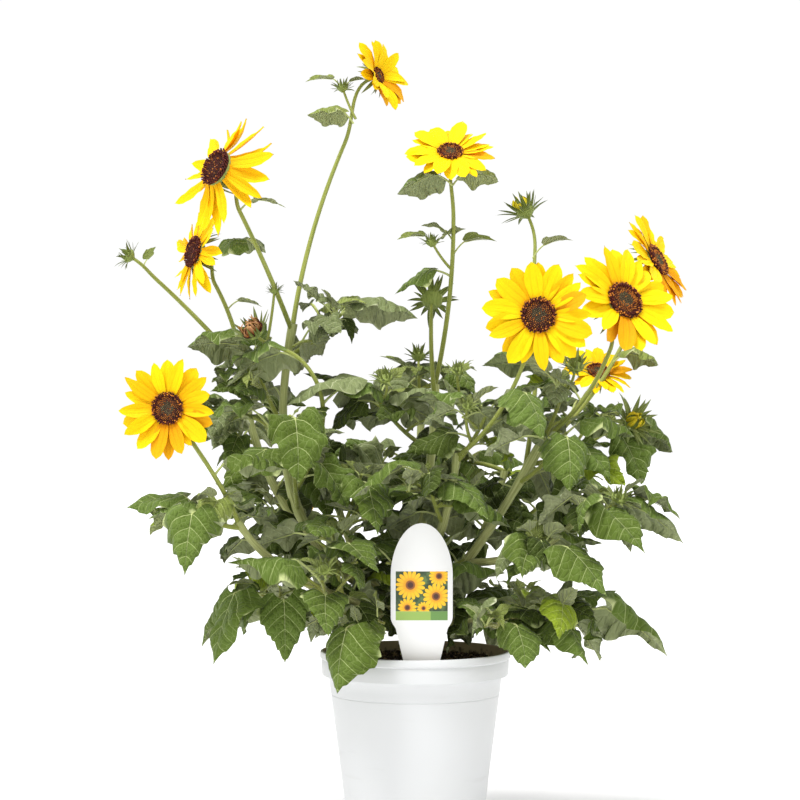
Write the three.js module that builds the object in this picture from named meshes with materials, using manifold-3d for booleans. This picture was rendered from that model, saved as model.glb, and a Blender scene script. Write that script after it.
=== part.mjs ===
// Bushy branching sunflower in a one-gallon nursery pot. Millimetres, +Z up.
// The origin is the centre of the pot's flat underside; the label stands at the front, on the -Y side.

import * as THREE from 'three';
import { mergeVertices } from 'three/addons/utils/BufferGeometryUtils.js';
import Module from 'manifold-3d';

const wasm = await Module();
wasm.setup();

// ---------------------------------------------------------------- driving dimensions

const GAP = 0.3; // clear distance between neighbouring solids
const SMALLEST_EDGE = 0.08; // shorter edges are merged once a shoot's pieces are joined
const GOLDEN_TURN = 137.5; // degrees from one leaf to the next round a stem

const POT = {
  height: 170,
  baseRadius: 56.5,
  bodyTopRadius: 75,
  bodyTop: 148,
  collarRadius: 81,
  rimRadius: 83,
  rimHeight: 7,
  wall: 1.8,
  floor: 2.4,
  facets: 30,
  drains: 6,
  drainRadius: 5,
  drainCircle: 42,
};

const MIX = { edgeHeight: 159, crownHeight: 164, facets: 24 };

const LABEL = {
  thickness: 0.9,
  halfWidth: 26,
  archHalfWidth: 15,
  spikeHalfWidth: 14,
  tipHalfWidth: 5,
  top: 284,
  archBase: 274,
  shoulder: 245,
  waist: 201,
  surface: 162,
  spikeTip: 122,
  x: 5,
  y: -66,
  lean: 3, // degrees that the top tips outwards
};

const LEAF = {
  rootDepth: 1.4, // the root point lies this far past the stem's middle line
  stalkRadius: 1.3,
  stalkShare: 0.42, // stalk length over blade length
  widthShare: 0.74, // blade width over blade length
  shoulderShare: 0.36, // widest place along the blade
  thicknessShare: 0.025,
  clearance: 0.9, // growth of the test copy that looks for neighbours
  retries: [0, 32, -32, 64, -64, 96, -96], // turns of the heading that are tried in order
};

// Turned profiles run from the back to the front: radius and height over the head's own size.
const BLOOM = {
  rays: 12,
  profile: [[0, -0.26], [0.4, -0.1], [1, 0.08], [0.4, 0.06], [0, 0.2]],
  notch: 0.6, // reach of the notch between two rays
};

const BUD = { sides: 6, profile: [[0, -0.3], [0.46, -0.08], [0.48, 0.28], [0, 0.66]] };

const BUD_FACE = [90, 80]; // buds on leafy shoots look up

const MAIN_STEM = {
  foot: [-2, 0, MIX.crownHeight + GAP],
  tip: [-10, 3, 212],
  bow: [2, 0, 0],
  radii: [8.4, 5.6],
  flareRadii: [10.5, 7.8],
  flareHeight: 9,
  sides: 8,
};

// Stems under the boughs: radius at each end, sides of the section and rings along the length.
const STEMS = {
  bough: { sides: 5, rings: 6 },
  flowerStalk: { radii: [2.6, 1.7], sides: 4, rings: 6 },
  sideStalk: { radii: [1.5, 1.1], sides: 3, rings: 3 },
  shoot: { radii: [2.3, 1.4], sides: 3, rings: 4 },
  twig: { radii: [1.6, 1.1], sides: 3, rings: 2 },
};

// How a leafy shoot grows. Pairs are a first value and the span from it; angles are in degrees.
const SHOOT = {
  twigs: 2,
  twigLeaves: { count: 2, from: 0.4 },
  stemLeaves: { count: 4, from: 0.3 },
  sag: 0.08, // fall of the stem's middle over its length
  middle: 0.75, // place on the stem where the shoot's sphere is centred
  twigPlaces: [0.35, 0.5],
  twigTurn: [55, 35], // away from the shoot's outward heading, to either side
  twigPitch: [-10, 50],
  twigLength: [0.8, 0.3],
  twigRise: 0.06,
  twigRoom: 1, // growth of the copy that looks for neighbours
  leafTurn: 0.72, // share of the spiral's turn that a leaf takes
  leafStray: 16,
  leafFall: [-8, -44],
  leafSize: [0.86, 0.24],
};

// Limbs: parent, place along it, tip in mm, bow of the middle in mm, radius at each end.
const BOUGHS = [
  {
    name: 'bough_left', on: 'main_stem', at: 1,
    tip: [-107, 20, 454], bow: [-44, 4, -42], radii: [5.6, 3.4],
  },
  {
    name: 'bough_right', on: 'main_stem', at: 0.62,
    tip: [109, -30, 353], bow: [0, -8, -14], radii: [6, 4],
  },
  {
    name: 'bough_centre', on: 'main_stem', at: 0.97,
    tip: [18, 42, 401], bow: [6, 8, 0], radii: [4.4, 3.2],
  },
  {
    name: 'bough_centre_right', on: 'main_stem', at: 0.9,
    tip: [35, -50, 342], bow: [8, -16, 0], radii: [4.2, 3],
  },
  {
    name: 'bough_left_back', on: 'main_stem', at: 0.86,
    tip: [-155, 88, 415], bow: [-32, 18, -22], radii: [4.6, 2.8],
  },
  {
    name: 'bough_far_left', on: 'main_stem', at: 0.72,
    tip: [-149, -70, 285], bow: [-18, -14, -8], radii: [4.4, 2.8],
  },
  {
    name: 'bough_low_left', on: 'main_stem', at: 0.45,
    tip: [-98, -30, 216], bow: [-6, -4, 4], radii: [3.8, 2.6],
  },
  {
    name: 'bough_front_left', on: 'main_stem', at: 0.58,
    tip: [-62, -58, 222], bow: [-6, -8, 2], radii: [3.6, 2.6],
  },
  {
    name: 'bough_right_low', on: 'bough_right', at: 0.42,
    tip: [132, -84, 286], bow: [8, -10, -8], radii: [3.4, 2.6],
  },
  {
    name: 'bough_low_right', on: 'main_stem', at: 0.42,
    tip: [96, -60, 201], bow: [4, -6, 8], radii: [3.8, 2.6],
  },
  {
    name: 'bough_back_left', on: 'main_stem', at: 0.66,
    tip: [-76, 92, 318], bow: [-8, 14, -16], radii: [4.6, 3],
  },
  {
    name: 'bough_back_right', on: 'main_stem', at: 0.76,
    tip: [82, 96, 322], bow: [10, 14, -16], radii: [4.6, 3],
  },
  {
    name: 'bough_back', on: 'main_stem', at: 0.82,
    tip: [6, 108, 366], bow: [0, 22, -20], radii: [4.4, 3],
  },
];

// Shoots that end in a bloom or a bud: the stalk, its few leaves and the head are one piece.
// face: heading and pitch of the head in degrees; 0 is +X, 90 is +Y. leaves: place, heading, pitch, length.
const FLOWER_SHOOTS = [
  {
    name: 'bloom_top_left', on: 'bough_left', at: 0.985, tip: [-164, -54, 580], bow: [2, -10, 3],
    head: 'bloom', size: 86, face: [-136, 18],
    leaves: [[0.42, 150, -25, 20], [0.62, 20, -35, 42]],
  },
  {
    name: 'bloom_summit', on: 'bough_left', at: 1, tip: [-41, 66, 674], bow: [-9, 10, 2],
    head: 'bloom', size: 74, face: [-38, 14],
    leaves: [[0.86, 172, 12, 26]],
    side: [
      {
        at: 0.85, tip: [-67, 70, 668], head: 'bud', size: 13,
        leaves: [[0.5, 190, 8, 22], [0.8, 168, -40, 34]],
      },
    ],
  },
  {
    name: 'bloom_left', on: 'bough_left_back', at: 0.985, tip: [-198, 72, 520], bow: [7, 2, 3],
    head: 'bloom', size: 82, face: [-152, 12],
    leaves: [[0.3, 160, 10, 26], [0.78, -12, -5, 38], [0.5, 20, -15, 24]],
  },
  {
    name: 'bloom_low_left', on: 'bough_far_left', at: 1, tip: [-200, -106, 379], bow: [10, -10, -8],
    head: 'bloom', size: 84, face: [-100, 3],
    leaves: [[0.5, 10, -10, 44], [0.25, -120, -55, 30]],
  },
  {
    name: 'bloom_centre', on: 'bough_centre', at: 1, tip: [30, -20, 600], bow: [8, -4, 0],
    head: 'bloom', size: 80, face: [-88, 48],
    leaves: [
      [0.93, 165, 5, 34], [0.95, 5, 10, 30], [0.62, 10, 8, 30], [0.56, 168, -28, 38], [0.66, 150, 15, 24],
    ],
    side: [{ at: 0.5, tip: [14, -8, 524], head: 'bud', size: 12, leaves: [[0.6, 190, 10, 22]] }],
  },
  {
    name: 'bloom_right_front', on: 'bough_centre_right', at: 0.98, tip: [101, -102, 457], bow: [6, -6, -14],
    head: 'bloom', size: 92, face: [-92, 4],
    leaves: [[0.55, -60, -50, 48], [0.3, 20, -30, 44], [0.8, 200, 12, 34]],
  },
  {
    name: 'bloom_right', on: 'bough_right', at: 1, tip: [173, -44, 467], bow: [10, 4, -10],
    head: 'bloom', size: 88, face: [-62, 20],
    leaves: [[0.35, 150, 20, 40], [0.6, 170, 30, 30]],
  },
  {
    name: 'bloom_far_right', on: 'bough_right', at: 0.96, tip: [213, 86, 509], bow: [8, 14, -18],
    head: 'bloom', size: 82, face: [-38, 26],
    leaves: [[0.4, 60, -10, 40], [0.55, -10, -20, 30]],
  },
  {
    name: 'bloom_right_rear', on: 'bough_right', at: 0.9, tip: [163, 48, 405], bow: [6, 10, 0],
    head: 'bloom', size: 66, face: [-74, 34],
    leaves: [[0.5, 70, -20, 46], [0.3, 120, -10, 40]],
  },
  {
    name: 'bloom_back', on: 'bough_back_right', at: 1, tip: [26, 152, 300], bow: [-10, 16, 16],
    head: 'bloom', size: 72, face: [84, 14],
    leaves: [[0.5, 20, -25, 46]],
  },
  {
    name: 'bloom_back_left', on: 'bough_back_left', at: 1, tip: [-96, 140, 306], bow: [0, 10, 14],
    head: 'bloom', size: 72, face: [122, 12],
    leaves: [[0.5, 190, -20, 48]],
  },
  {
    name: 'bud_far_left', on: 'bough_left_back', at: 1, tip: [-256, 60, 516], bow: [-4, 4, 8],
    head: 'bud', size: 15, face: [176, 30],
    leaves: [[0.86, 100, 40, 24], [0.8, 10, 24, 30], [0.74, -30, 16, 22]],
  },
  {
    name: 'spent_left', on: 'bough_left', at: 0.55, tip: [-138, -44, 446], bow: [42, -20, 16],
    head: 'spent', size: 26, face: [150, 40],
    leaves: [[0.45, 20, -20, 50], [0.7, 160, -30, 46]],
  },
  {
    name: 'bud_centre', on: 'bough_centre', at: 0.94, tip: [15, 28, 476], bow: [-2, -4, 0],
    head: 'bud', size: 22, face: [60, 70],
    leaves: [[0.2, 190, -5, 44]],
  },
  {
    name: 'bud_right_high', on: 'bough_right', at: 0.86, tip: [101, 104, 560], bow: [12, 16, 4],
    head: 'bud', size: 17, face: [130, 60],
    leaves: [[0.8, 10, 12, 28], [0.4, 30, -20, 30]],
  },
];

// Leafy shoots: parent, place along it, tip in mm, radius of the sphere that the shoot keeps to and
// blade length. bud: width of a bud at the tip.
// marked leaves stand at the crown's edge: place, heading, pitch, length.
const LEAFY_SHOOTS = [
  {
    name: 'foliage_upper_left', on: 'bough_left', at: 0.93,
    tip: [-64, 6, 462], reach: 76, leaf: 46, bud: 9,
    marked: [[0.95, -10, -24, 58], [0.8, 60, 20, 42], [0.9, 190, 24, 40]],
  },
  {
    name: 'foliage_left_high', on: 'bough_left', at: 0.76,
    tip: [-140, -6, 424], reach: 78, leaf: 50,
    marked: [[0.9, 176, 4, 54], [0.95, 130, 40, 40]],
  },
  {
    name: 'foliage_left_shoulder', on: 'bough_left', at: 0.5,
    tip: [-106, -58, 374], reach: 88, leaf: 62,
    marked: [[0.95, -80, -54, 72], [0.6, -150, -30, 64]],
  },
  {
    name: 'foliage_left_rear', on: 'bough_left_back', at: 0.76,
    tip: [-176, 96, 364], reach: 92, leaf: 58,
    marked: [[0.9, 174, -4, 52], [0.95, -120, 10, 54]],
  },
  {
    name: 'foliage_far_left', on: 'bough_far_left', at: 0.96,
    tip: [-180, -84, 292], reach: 96, leaf: 58,
    marked: [[0.95, -100, -78, 66], [0.9, 176, -10, 56], [0.6, -150, -14, 50]],
  },
  {
    name: 'foliage_low_left', on: 'bough_low_left', at: 1,
    tip: [-134, -32, 222], reach: 92, leaf: 62,
    marked: [[0.95, -126, -78, 72], [0.8, 172, -62, 64], [0.5, -80, -74, 64]],
  },
  {
    name: 'foliage_low_left_front', on: 'bough_low_left', at: 0.62,
    tip: [-78, -84, 236], reach: 84, leaf: 60,
    marked: [[0.95, 184, -14, 68], [0.7, -90, -50, 58]],
  },
  {
    name: 'foliage_front_left', on: 'bough_front_left', at: 1,
    tip: [-70, -66, 274], reach: 86, leaf: 56, bud: 10,
    marked: [[0.8, -60, -40, 58]],
  },
  {
    name: 'foliage_front_rim', on: 'bough_front_left', at: 0.5,
    tip: [-46, -72, 196], reach: 84, leaf: 54,
    marked: [[0.95, -112, -74, 68], [0.8, -50, -50, 50]],
  },
  {
    name: 'foliage_left_inner', on: 'bough_left', at: 0.3,
    tip: [-46, -44, 324], reach: 88, leaf: 60,
    marked: [[0.9, -60, -50, 64]],
  },
  {
    name: 'foliage_centre_left', on: 'bough_centre', at: 0.7,
    tip: [-34, -22, 390], reach: 86, leaf: 58, bud: 13,
    marked: [[0.9, -130, -16, 62], [0.7, -40, 0, 56], [0.95, 60, 24, 46]],
  },
  {
    name: 'foliage_centre_front', on: 'bough_centre_right', at: 0.55,
    tip: [10, -64, 322], reach: 86, leaf: 60,
    marked: [[0.95, -150, -30, 62], [0.8, -40, -40, 60]],
  },
  {
    name: 'foliage_centre_right', on: 'bough_centre_right', at: 0.94,
    tip: [60, -62, 376], reach: 82, leaf: 52, bud: 12,
    marked: [[0.95, -10, 10, 48], [0.8, 190, 0, 50]],
  },
  {
    name: 'foliage_right_top', on: 'bough_right', at: 0.94,
    tip: [128, -44, 402], reach: 80, leaf: 54, bud: 15,
    marked: [[0.9, 172, 2, 62], [0.85, 20, 4, 46]],
  },
  {
    name: 'foliage_right_mid', on: 'bough_right', at: 0.82,
    tip: [126, -74, 360], reach: 82, leaf: 60,
    marked: [[0.9, -84, -62, 68], [0.95, 10, -20, 52]],
  },
  {
    name: 'foliage_right_edge', on: 'bough_right', at: 0.9,
    tip: [174, 4, 366], reach: 84, leaf: 52, bud: 15,
    marked: [[0.9, -20, -36, 52], [0.8, -50, -64, 60]],
  },
  {
    name: 'foliage_right_low', on: 'bough_right_low', at: 1,
    tip: [162, -98, 300], reach: 92, leaf: 56, bud: 15,
    marked: [[0.9, -4, -26, 52], [0.4, -12, -30, 72], [0.3, -60, -40, 68]],
  },
  {
    name: 'foliage_right_low_front', on: 'bough_right_low', at: 0.6,
    tip: [104, -92, 262], reach: 86, leaf: 62,
    marked: [[0.9, -50, -46, 68], [0.6, -110, -40, 58]],
  },
  {
    name: 'foliage_low_right', on: 'bough_low_right', at: 1,
    tip: [130, -66, 204], reach: 92, leaf: 58,
    marked: [[0.9, -20, -38, 78], [0.5, 20, 6, 54], [0.6, -70, -50, 58]],
  },
  {
    name: 'foliage_low_right_front', on: 'bough_low_right', at: 0.56,
    tip: [76, -84, 200], reach: 78, leaf: 52,
    marked: [[0.95, -70, -60, 50], [0.8, 0, -40, 50]],
  },
  {
    name: 'foliage_front_centre', on: 'main_stem', at: 0.7,
    tip: [12, -52, 256], reach: 86, leaf: 58,
    marked: [[0.7, -20, -24, 58], [0.9, 200, -30, 58]],
  },
  {
    name: 'foliage_back_left', on: 'bough_back_left', at: 0.6,
    tip: [-134, 112, 300], reach: 96, leaf: 64,
    marked: [[0.9, 150, -30, 64], [0.5, 110, -50, 60]],
  },
  {
    name: 'foliage_back', on: 'bough_back', at: 0.72,
    tip: [-34, 152, 330], reach: 96, leaf: 64,
    marked: [[0.9, 100, -50, 64], [0.6, 60, -40, 60]],
  },
  {
    name: 'foliage_back_top', on: 'bough_back', at: 1,
    tip: [4, 122, 412], reach: 84, leaf: 54, bud: 14,
    marked: [[0.9, 90, -20, 54]],
  },
  {
    name: 'foliage_back_right', on: 'bough_back_right', at: 0.62,
    tip: [138, 112, 312], reach: 96, leaf: 64,
    marked: [[0.9, 40, -30, 64], [0.5, 80, -50, 60]],
  },
  {
    name: 'foliage_back_low_left', on: 'main_stem', at: 0.4,
    tip: [-66, 92, 212], reach: 96, leaf: 64,
    marked: [[0.95, 130, -64, 64], [0.8, 90, -60, 60]],
  },
  {
    name: 'foliage_back_low_right', on: 'main_stem', at: 0.36,
    tip: [84, 84, 212], reach: 96, leaf: 64,
    marked: [[0.95, 40, -64, 64], [0.8, 80, -60, 60]],
  },
];

// ---------------------------------------------------------------- finishes

const finish = (color, roughness) => new THREE.MeshStandardMaterial({ color, roughness, metalness: 0 });
const potPlastic = finish('#e9eaec', 0.45);
const soil = finish('#3a2c22', 0.95);
const labelPlastic = finish('#f4f5f4', 0.5);
const greenStem = finish('#7c8a48', 0.7);
const leafGreen = finish('#4f6a34', 0.65);
const rayYellow = finish('#ffc814', 0.6);

// ---------------------------------------------------------------- small helpers

const radians = THREE.MathUtils.degToRad;
const vector = (xyz) => new THREE.Vector3(...xyz);

/** Unit vector from a heading round +Z and a pitch above the horizontal, in degrees. */
function direction(heading, pitch) {
  const level = Math.cos(radians(pitch));
  return new THREE.Vector3(
    level * Math.cos(radians(heading)),
    level * Math.sin(radians(heading)),
    Math.sin(radians(pitch)),
  );
}

/** A repeatable source of numbers from 0 to 1. */
function seededRandom(seed) {
  let state = seed * 7919 + 104729;
  return () => {
    state = (state * 16807) % 2147483647;
    return state / 2147483647;
  };
}

/** A drawn value in a pair's range: a first value and the span from it. */
const within = ([first, span], random) => first + span * random();

/** Turns a closed three.js geometry into a solid that can be joined and cut. */
function solidOf(geometry) {
  geometry.deleteAttribute('normal');
  geometry.deleteAttribute('uv');
  const merged = mergeVertices(geometry, 1e-4);
  return new wasm.Manifold(
    new wasm.Mesh({
      numProp: 3,
      vertProperties: new Float32Array(merged.attributes.position.array),
      triVerts: new Uint32Array(merged.index.array),
    }),
  );
}

/** The largest of the pieces that a cut has left. */
function largestPiece(solid) {
  const pieces = solid.decompose();
  return pieces.reduce((best, piece) => (piece.volume() > best.volume() ? piece : best));
}

function meshOf(name, solid, material) {
  const { vertProperties, triVerts } = solid.getMesh();
  const geometry = new THREE.BufferGeometry();
  geometry.setAttribute('position', new THREE.BufferAttribute(vertProperties, 3));
  geometry.setIndex(new THREE.BufferAttribute(triVerts, 1));
  geometry.computeVertexNormals();
  const mesh = new THREE.Mesh(geometry, material);
  mesh.name = name;
  return mesh;
}

// ---------------------------------------------------------------- plant shapes

/** Curve from a start point to a tip, its middle pushed aside by a bow. */
function limbCurve(start, tip, bow) {
  const middle = start.clone().add(tip).multiplyScalar(0.5);
  const control = middle.addScaledVector(bow, 2);
  return new THREE.QuadraticBezierCurve3(start, control, tip);
}

/** Tapering limb: a closed cylinder whose rings are laid along a curve. */
function limbGeometry(curve, rootRadius, tipRadius, sides, segments) {
  const geometry = new THREE.CylinderGeometry(1, 1, 1, sides, segments);
  const frames = curve.computeFrenetFrames(segments);
  const position = geometry.attributes.position;
  for (let i = 0; i < position.count; i += 1) {
    const share = position.getY(i) + 0.5;
    const ring = Math.round(share * segments);
    const radius = THREE.MathUtils.lerp(rootRadius, tipRadius, share);
    const point = curve
      .getPointAt(share)
      .addScaledVector(frames.normals[ring], radius * position.getX(i))
      .addScaledVector(frames.binormals[ring], -radius * position.getZ(i));
    position.setXYZ(i, point.x, point.y, point.z);
  }
  return geometry;
}

/**
 * Stalk and blade in one: a three-sided spindle laid flat, widened into a blade and bent downwards.
 * Its root point lies inside the stem. bare is the share of the stalk that is left out there.
 */
function leafGeometry(leaf, grow, bare = 0) {
  const spindle = [[0, 0], [1, 1], [1, 2], [0, 3]];
  const geometry = new THREE.LatheGeometry(spindle.map((point) => new THREE.Vector2(...point)), 3);
  const along = [leaf.rise, leaf.rise, leaf.fall, leaf.fall + leaf.droop];
  const stalk = leaf.length * LEAF.stalkShare;
  const lengths = [
    0,
    stalk * (1 - bare) + LEAF.rootDepth,
    leaf.length * LEAF.shoulderShare,
    leaf.length * (1 - LEAF.shoulderShare) + grow,
  ];
  const half = (leaf.length * LEAF.widthShare) / 2;
  const halfWidths = [0, LEAF.stalkRadius + grow, half + grow, 0];
  const keel = leaf.length * LEAF.thicknessShare + grow;
  const keels = [0, 2 * LEAF.stalkRadius + grow, keel, 0];
  const start = direction(leaf.heading, leaf.rise).multiplyScalar(stalk * bare - LEAF.rootDepth);
  const centres = [leaf.root.clone().add(start)];
  for (let ring = 1; ring < 4; ring += 1) {
    const step = direction(leaf.heading, along[ring]).multiplyScalar(lengths[ring]);
    centres.push(centres[ring - 1].clone().add(step));
  }
  const level = direction(leaf.heading + 90, 0);
  const position = geometry.attributes.position;
  for (let i = 0; i < position.count; i += 1) {
    const ring = Math.round(position.getY(i));
    const forward = direction(leaf.heading, along[ring]);
    const side = level.clone().applyAxisAngle(forward, radians(leaf.roll));
    const up = forward.clone().cross(side);
    const turn = Math.atan2(position.getX(i), position.getZ(i));
    const isCentre = Math.hypot(position.getX(i), position.getZ(i)) < 1e-6;
    const across = isCentre ? 0 : Math.sin(turn) / Math.sin(Math.PI / 3);
    const isKeel = !isCentre && Math.cos(turn) > 0.5;
    const point = centres[ring]
      .clone()
      .addScaledVector(side, across * halfWidths[ring])
      .addScaledVector(up, (isKeel ? -keels[ring] : 0) + grow / 2);
    position.setXYZ(i, point.x, point.y, point.z);
  }
  return geometry;
}

/** Turns a shape that faces +Z so that it faces a heading and pitch, and sets it at a point. */
function aim(geometry, point, face) {
  const turn = new THREE.Quaternion().setFromUnitVectors(new THREE.Vector3(0, 0, 1), direction(...face));
  return geometry.applyQuaternion(turn).translate(point.x, point.y, point.z);
}

/** Flower head facing +Z: one turned shape whose rim runs out to a ray tip and back to a notch. */
function bloomGeometry(diameter, random) {
  const radius = diameter / 2;
  const profile = BLOOM.profile.map(([r, z]) => new THREE.Vector2(r * radius, z * radius));
  const rim = BLOOM.profile.findIndex(([r]) => r === 1);
  const geometry = new THREE.LatheGeometry(profile, BLOOM.rays * 2);
  const reaches = Array.from({ length: BLOOM.rays * 2 }, (_, i) =>
    i % 2 === 0 ? 0.94 + 0.06 * random() : BLOOM.notch,
  );
  const position = geometry.attributes.position;
  for (let i = rim; i < position.count; i += profile.length) {
    const spoke = Math.floor(i / profile.length) % reaches.length;
    const reach = reaches[spoke];
    position.setXYZ(i, position.getX(i) * reach, position.getY(i) * reach * reach, position.getZ(i) * reach);
  }
  return geometry.rotateX(Math.PI / 2);
}

/** Closed bud or withered head facing +Z, about as tall as it is wide. */
function budGeometry(size) {
  const profile = BUD.profile.map(([r, z]) => new THREE.Vector2(r * size, z * size));
  return new THREE.LatheGeometry(profile, BUD.sides).rotateX(Math.PI / 2);
}

// ---------------------------------------------------------------- keeping pieces apart

const occupied = []; // each: node name, grown solid, its box

function boxOf(solid) {
  const { min, max } = solid.boundingBox();
  return new THREE.Box3(vector(min), vector(max));
}

function occupy(node, solid) {
  occupied.push({ node, solid, box: boxOf(solid) });
}

function neighboursOf(node, solid) {
  const box = boxOf(solid);
  return occupied.filter((other) => other.node !== node && other.box.intersectsBox(box));
}

/** True where a test solid is clear of every piece of the other nodes. */
function isClear(node, solid) {
  return neighboursOf(node, solid).every((other) => other.solid.intersect(solid).isEmpty());
}

/** Cuts a new limb back so that it stops a gap short of the limb that carries it. */
function trimmed(node, solid) {
  let result = solid;
  for (const other of neighboursOf(node, solid)) {
    result = result.subtract(other.solid);
  }
  return largestPiece(result);
}

// ---------------------------------------------------------------- pot, mix and label

const group = new THREE.Group();
const limbs = new Map(); // name: curve

function potProfile() {
  const { height, baseRadius, bodyTopRadius, bodyTop, collarRadius, rimRadius, wall, floor } = POT;
  const lipBottom = height - POT.rimHeight;
  return [
    [0, 0],
    [baseRadius - 2, 0],
    [baseRadius, 3],
    [bodyTopRadius, bodyTop],
    [collarRadius, bodyTop + 1],
    [collarRadius + 0.6, lipBottom],
    [rimRadius, lipBottom + 1.2],
    [rimRadius, height - 1],
    [rimRadius - 1, height],
    [collarRadius - wall + 0.4, height],
    [collarRadius - wall, bodyTop + 4],
    [bodyTopRadius - wall, bodyTop - 1],
    [baseRadius - wall, floor],
    [0, floor],
  ];
}

/** Radius of the pot's inner wall at a height below its collar. */
function innerRadius(z) {
  const share = (z - POT.floor) / (POT.bodyTop - 1 - POT.floor);
  return THREE.MathUtils.lerp(POT.baseRadius, POT.bodyTopRadius, share) - POT.wall;
}

function lathe(points, facets) {
  const profile = points.map((point) => new THREE.Vector2(...point));
  return solidOf(new THREE.LatheGeometry(profile, facets).rotateX(Math.PI / 2));
}

function potSolid() {
  let solid = lathe(potProfile(), POT.facets);
  for (let i = 0; i < POT.drains; i += 1) {
    const angle = ((i + 0.5) / POT.drains) * Math.PI * 2;
    const drain = new THREE.CylinderGeometry(POT.drainRadius, POT.drainRadius, POT.floor * 4, 6)
      .rotateX(Math.PI / 2)
      .translate(POT.drainCircle * Math.cos(angle), POT.drainCircle * Math.sin(angle), 0);
    solid = solid.subtract(solidOf(drain));
  }
  return solid;
}

/** Filling of potting mix, a gap clear of the pot all round, its surface slightly mounded. */
function mixSolid() {
  const chord = Math.cos(Math.PI / POT.facets); // a facet's middle lies inside its corner radius
  const bottom = POT.floor + GAP;
  const shrink = (z) => innerRadius(z) * chord - GAP - 0.2;
  const shoulder = POT.bodyTop - 2;
  return lathe(
    [
      [0, bottom],
      [shrink(bottom), bottom],
      [shrink(shoulder), shoulder],
      [shrink(shoulder) + 2, MIX.edgeHeight],
      [shrink(shoulder) * 0.55, (MIX.edgeHeight + MIX.crownHeight) / 2 + 1],
      [0, MIX.crownHeight],
    ],
    MIX.facets,
  );
}

function labelGeometry(grow) {
  const { halfWidth, archHalfWidth, spikeHalfWidth, tipHalfWidth, top, archBase } = LABEL;
  const { shoulder, waist, surface, spikeTip, thickness } = LABEL;
  const shape = new THREE.Shape();
  shape.moveTo(-tipHalfWidth - grow, spikeTip - grow);
  shape.lineTo(tipHalfWidth + grow, spikeTip - grow);
  shape.lineTo(spikeHalfWidth + grow, surface);
  shape.lineTo(halfWidth - 4 + grow, waist - 5);
  shape.quadraticCurveTo(halfWidth + grow, waist - 3, halfWidth + grow, waist + 4);
  shape.lineTo(halfWidth + grow, shoulder);
  shape.quadraticCurveTo(halfWidth + grow, shoulder + 8, archHalfWidth + grow, archBase);
  shape.quadraticCurveTo(archHalfWidth - 4, top + grow, 0, top + grow);
  shape.quadraticCurveTo(4 - archHalfWidth, top + grow, -archHalfWidth - grow, archBase);
  shape.quadraticCurveTo(-halfWidth - grow, shoulder + 8, -halfWidth - grow, shoulder);
  shape.lineTo(-halfWidth - grow, waist + 4);
  shape.quadraticCurveTo(-halfWidth - grow, waist - 3, 4 - halfWidth - grow, waist - 5);
  shape.lineTo(-spikeHalfWidth - grow, surface);
  const depth = thickness + 2 * grow;
  return new THREE.ExtrudeGeometry(shape, { depth, bevelEnabled: false, curveSegments: 4 })
    .translate(0, -LABEL.surface, -depth / 2)
    .rotateX(Math.PI / 2 + radians(LABEL.lean))
    .translate(LABEL.x, LABEL.y, LABEL.surface);
}

function addPotAndLabel() {
  const pot = potSolid();
  const label = solidOf(labelGeometry(0));
  const labelRoom = solidOf(labelGeometry(GAP));
  const mix = mixSolid().subtract(labelRoom);
  group.add(meshOf('pot', pot, potPlastic));
  group.add(meshOf('potting_mix', mix, soil));
  group.add(meshOf('plant_label', label, labelPlastic));
  occupy('pot', pot);
  occupy('potting_mix', mix);
  occupy('plant_label', solidOf(labelGeometry(2 * GAP)));
}

// ---------------------------------------------------------------- stems

/** Adds a limb's solid to its node, with a grown copy that later pieces keep clear of. */
function growLimb(node, curve, radii, { sides, rings }) {
  const solid = solidOf(limbGeometry(curve, radii[0], radii[1], sides, rings));
  const margin = GAP / Math.cos(Math.PI / sides);
  const end = curve.getPointAt(1).addScaledVector(curve.getTangentAt(1), GAP);
  const longer = new THREE.QuadraticBezierCurve3(curve.v0, curve.v1, end);
  const room = solidOf(limbGeometry(longer, radii[0] + margin, radii[1] + margin, sides, rings));
  const own = trimmed(node, solid);
  occupy(node, room);
  return own;
}

function startOf(limb) {
  return limbs.get(limb.on).getPoint(limb.at);
}

/** The main stem with its flared foot, level where it stands on the mix. */
function addMainStem() {
  const { radii, flareRadii, flareHeight, sides } = MAIN_STEM;
  const foot = vector(MAIN_STEM.foot);
  const curve = limbCurve(foot, vector(MAIN_STEM.tip), vector(MAIN_STEM.bow));
  limbs.set('main_stem', curve);
  const stem = (grow) => solidOf(limbGeometry(curve, radii[0] + grow, radii[1] + grow, sides, 4));
  const cone = new THREE.CylinderGeometry(flareRadii[1], flareRadii[0], flareHeight, sides);
  const flare = solidOf(cone.rotateX(Math.PI / 2).translate(foot.x, foot.y, foot.z + flareHeight / 2));
  const below = new THREE.BoxGeometry(60, 60, 20).translate(foot.x, foot.y, foot.z - 10);
  group.add(meshOf('main_stem', stem(0).add(flare).subtract(solidOf(below)), greenStem));
  occupy('main_stem', stem(2 * GAP).add(flare));
}

function addBoughs() {
  for (const bough of BOUGHS) {
    const curve = limbCurve(startOf(bough), vector(bough.tip), vector(bough.bow));
    limbs.set(bough.name, curve);
    const solid = growLimb(bough.name, curve, bough.radii, STEMS.bough);
    group.add(meshOf(bough.name, solid, greenStem));
  }
}

// ---------------------------------------------------------------- leaves

/** A leaf's sizes and bends, from its place on a stem and a heading, pitch and length. */
function leafAt(curve, place, heading, fall, length, random) {
  const rise = THREE.MathUtils.clamp(fall + 55, 5, 50);
  return {
    root: curve.getPoint(place),
    heading,
    rise,
    fall,
    droop: -18 * random() - 6,
    roll: (random() - 0.5) * 36,
    length,
  };
}

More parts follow.
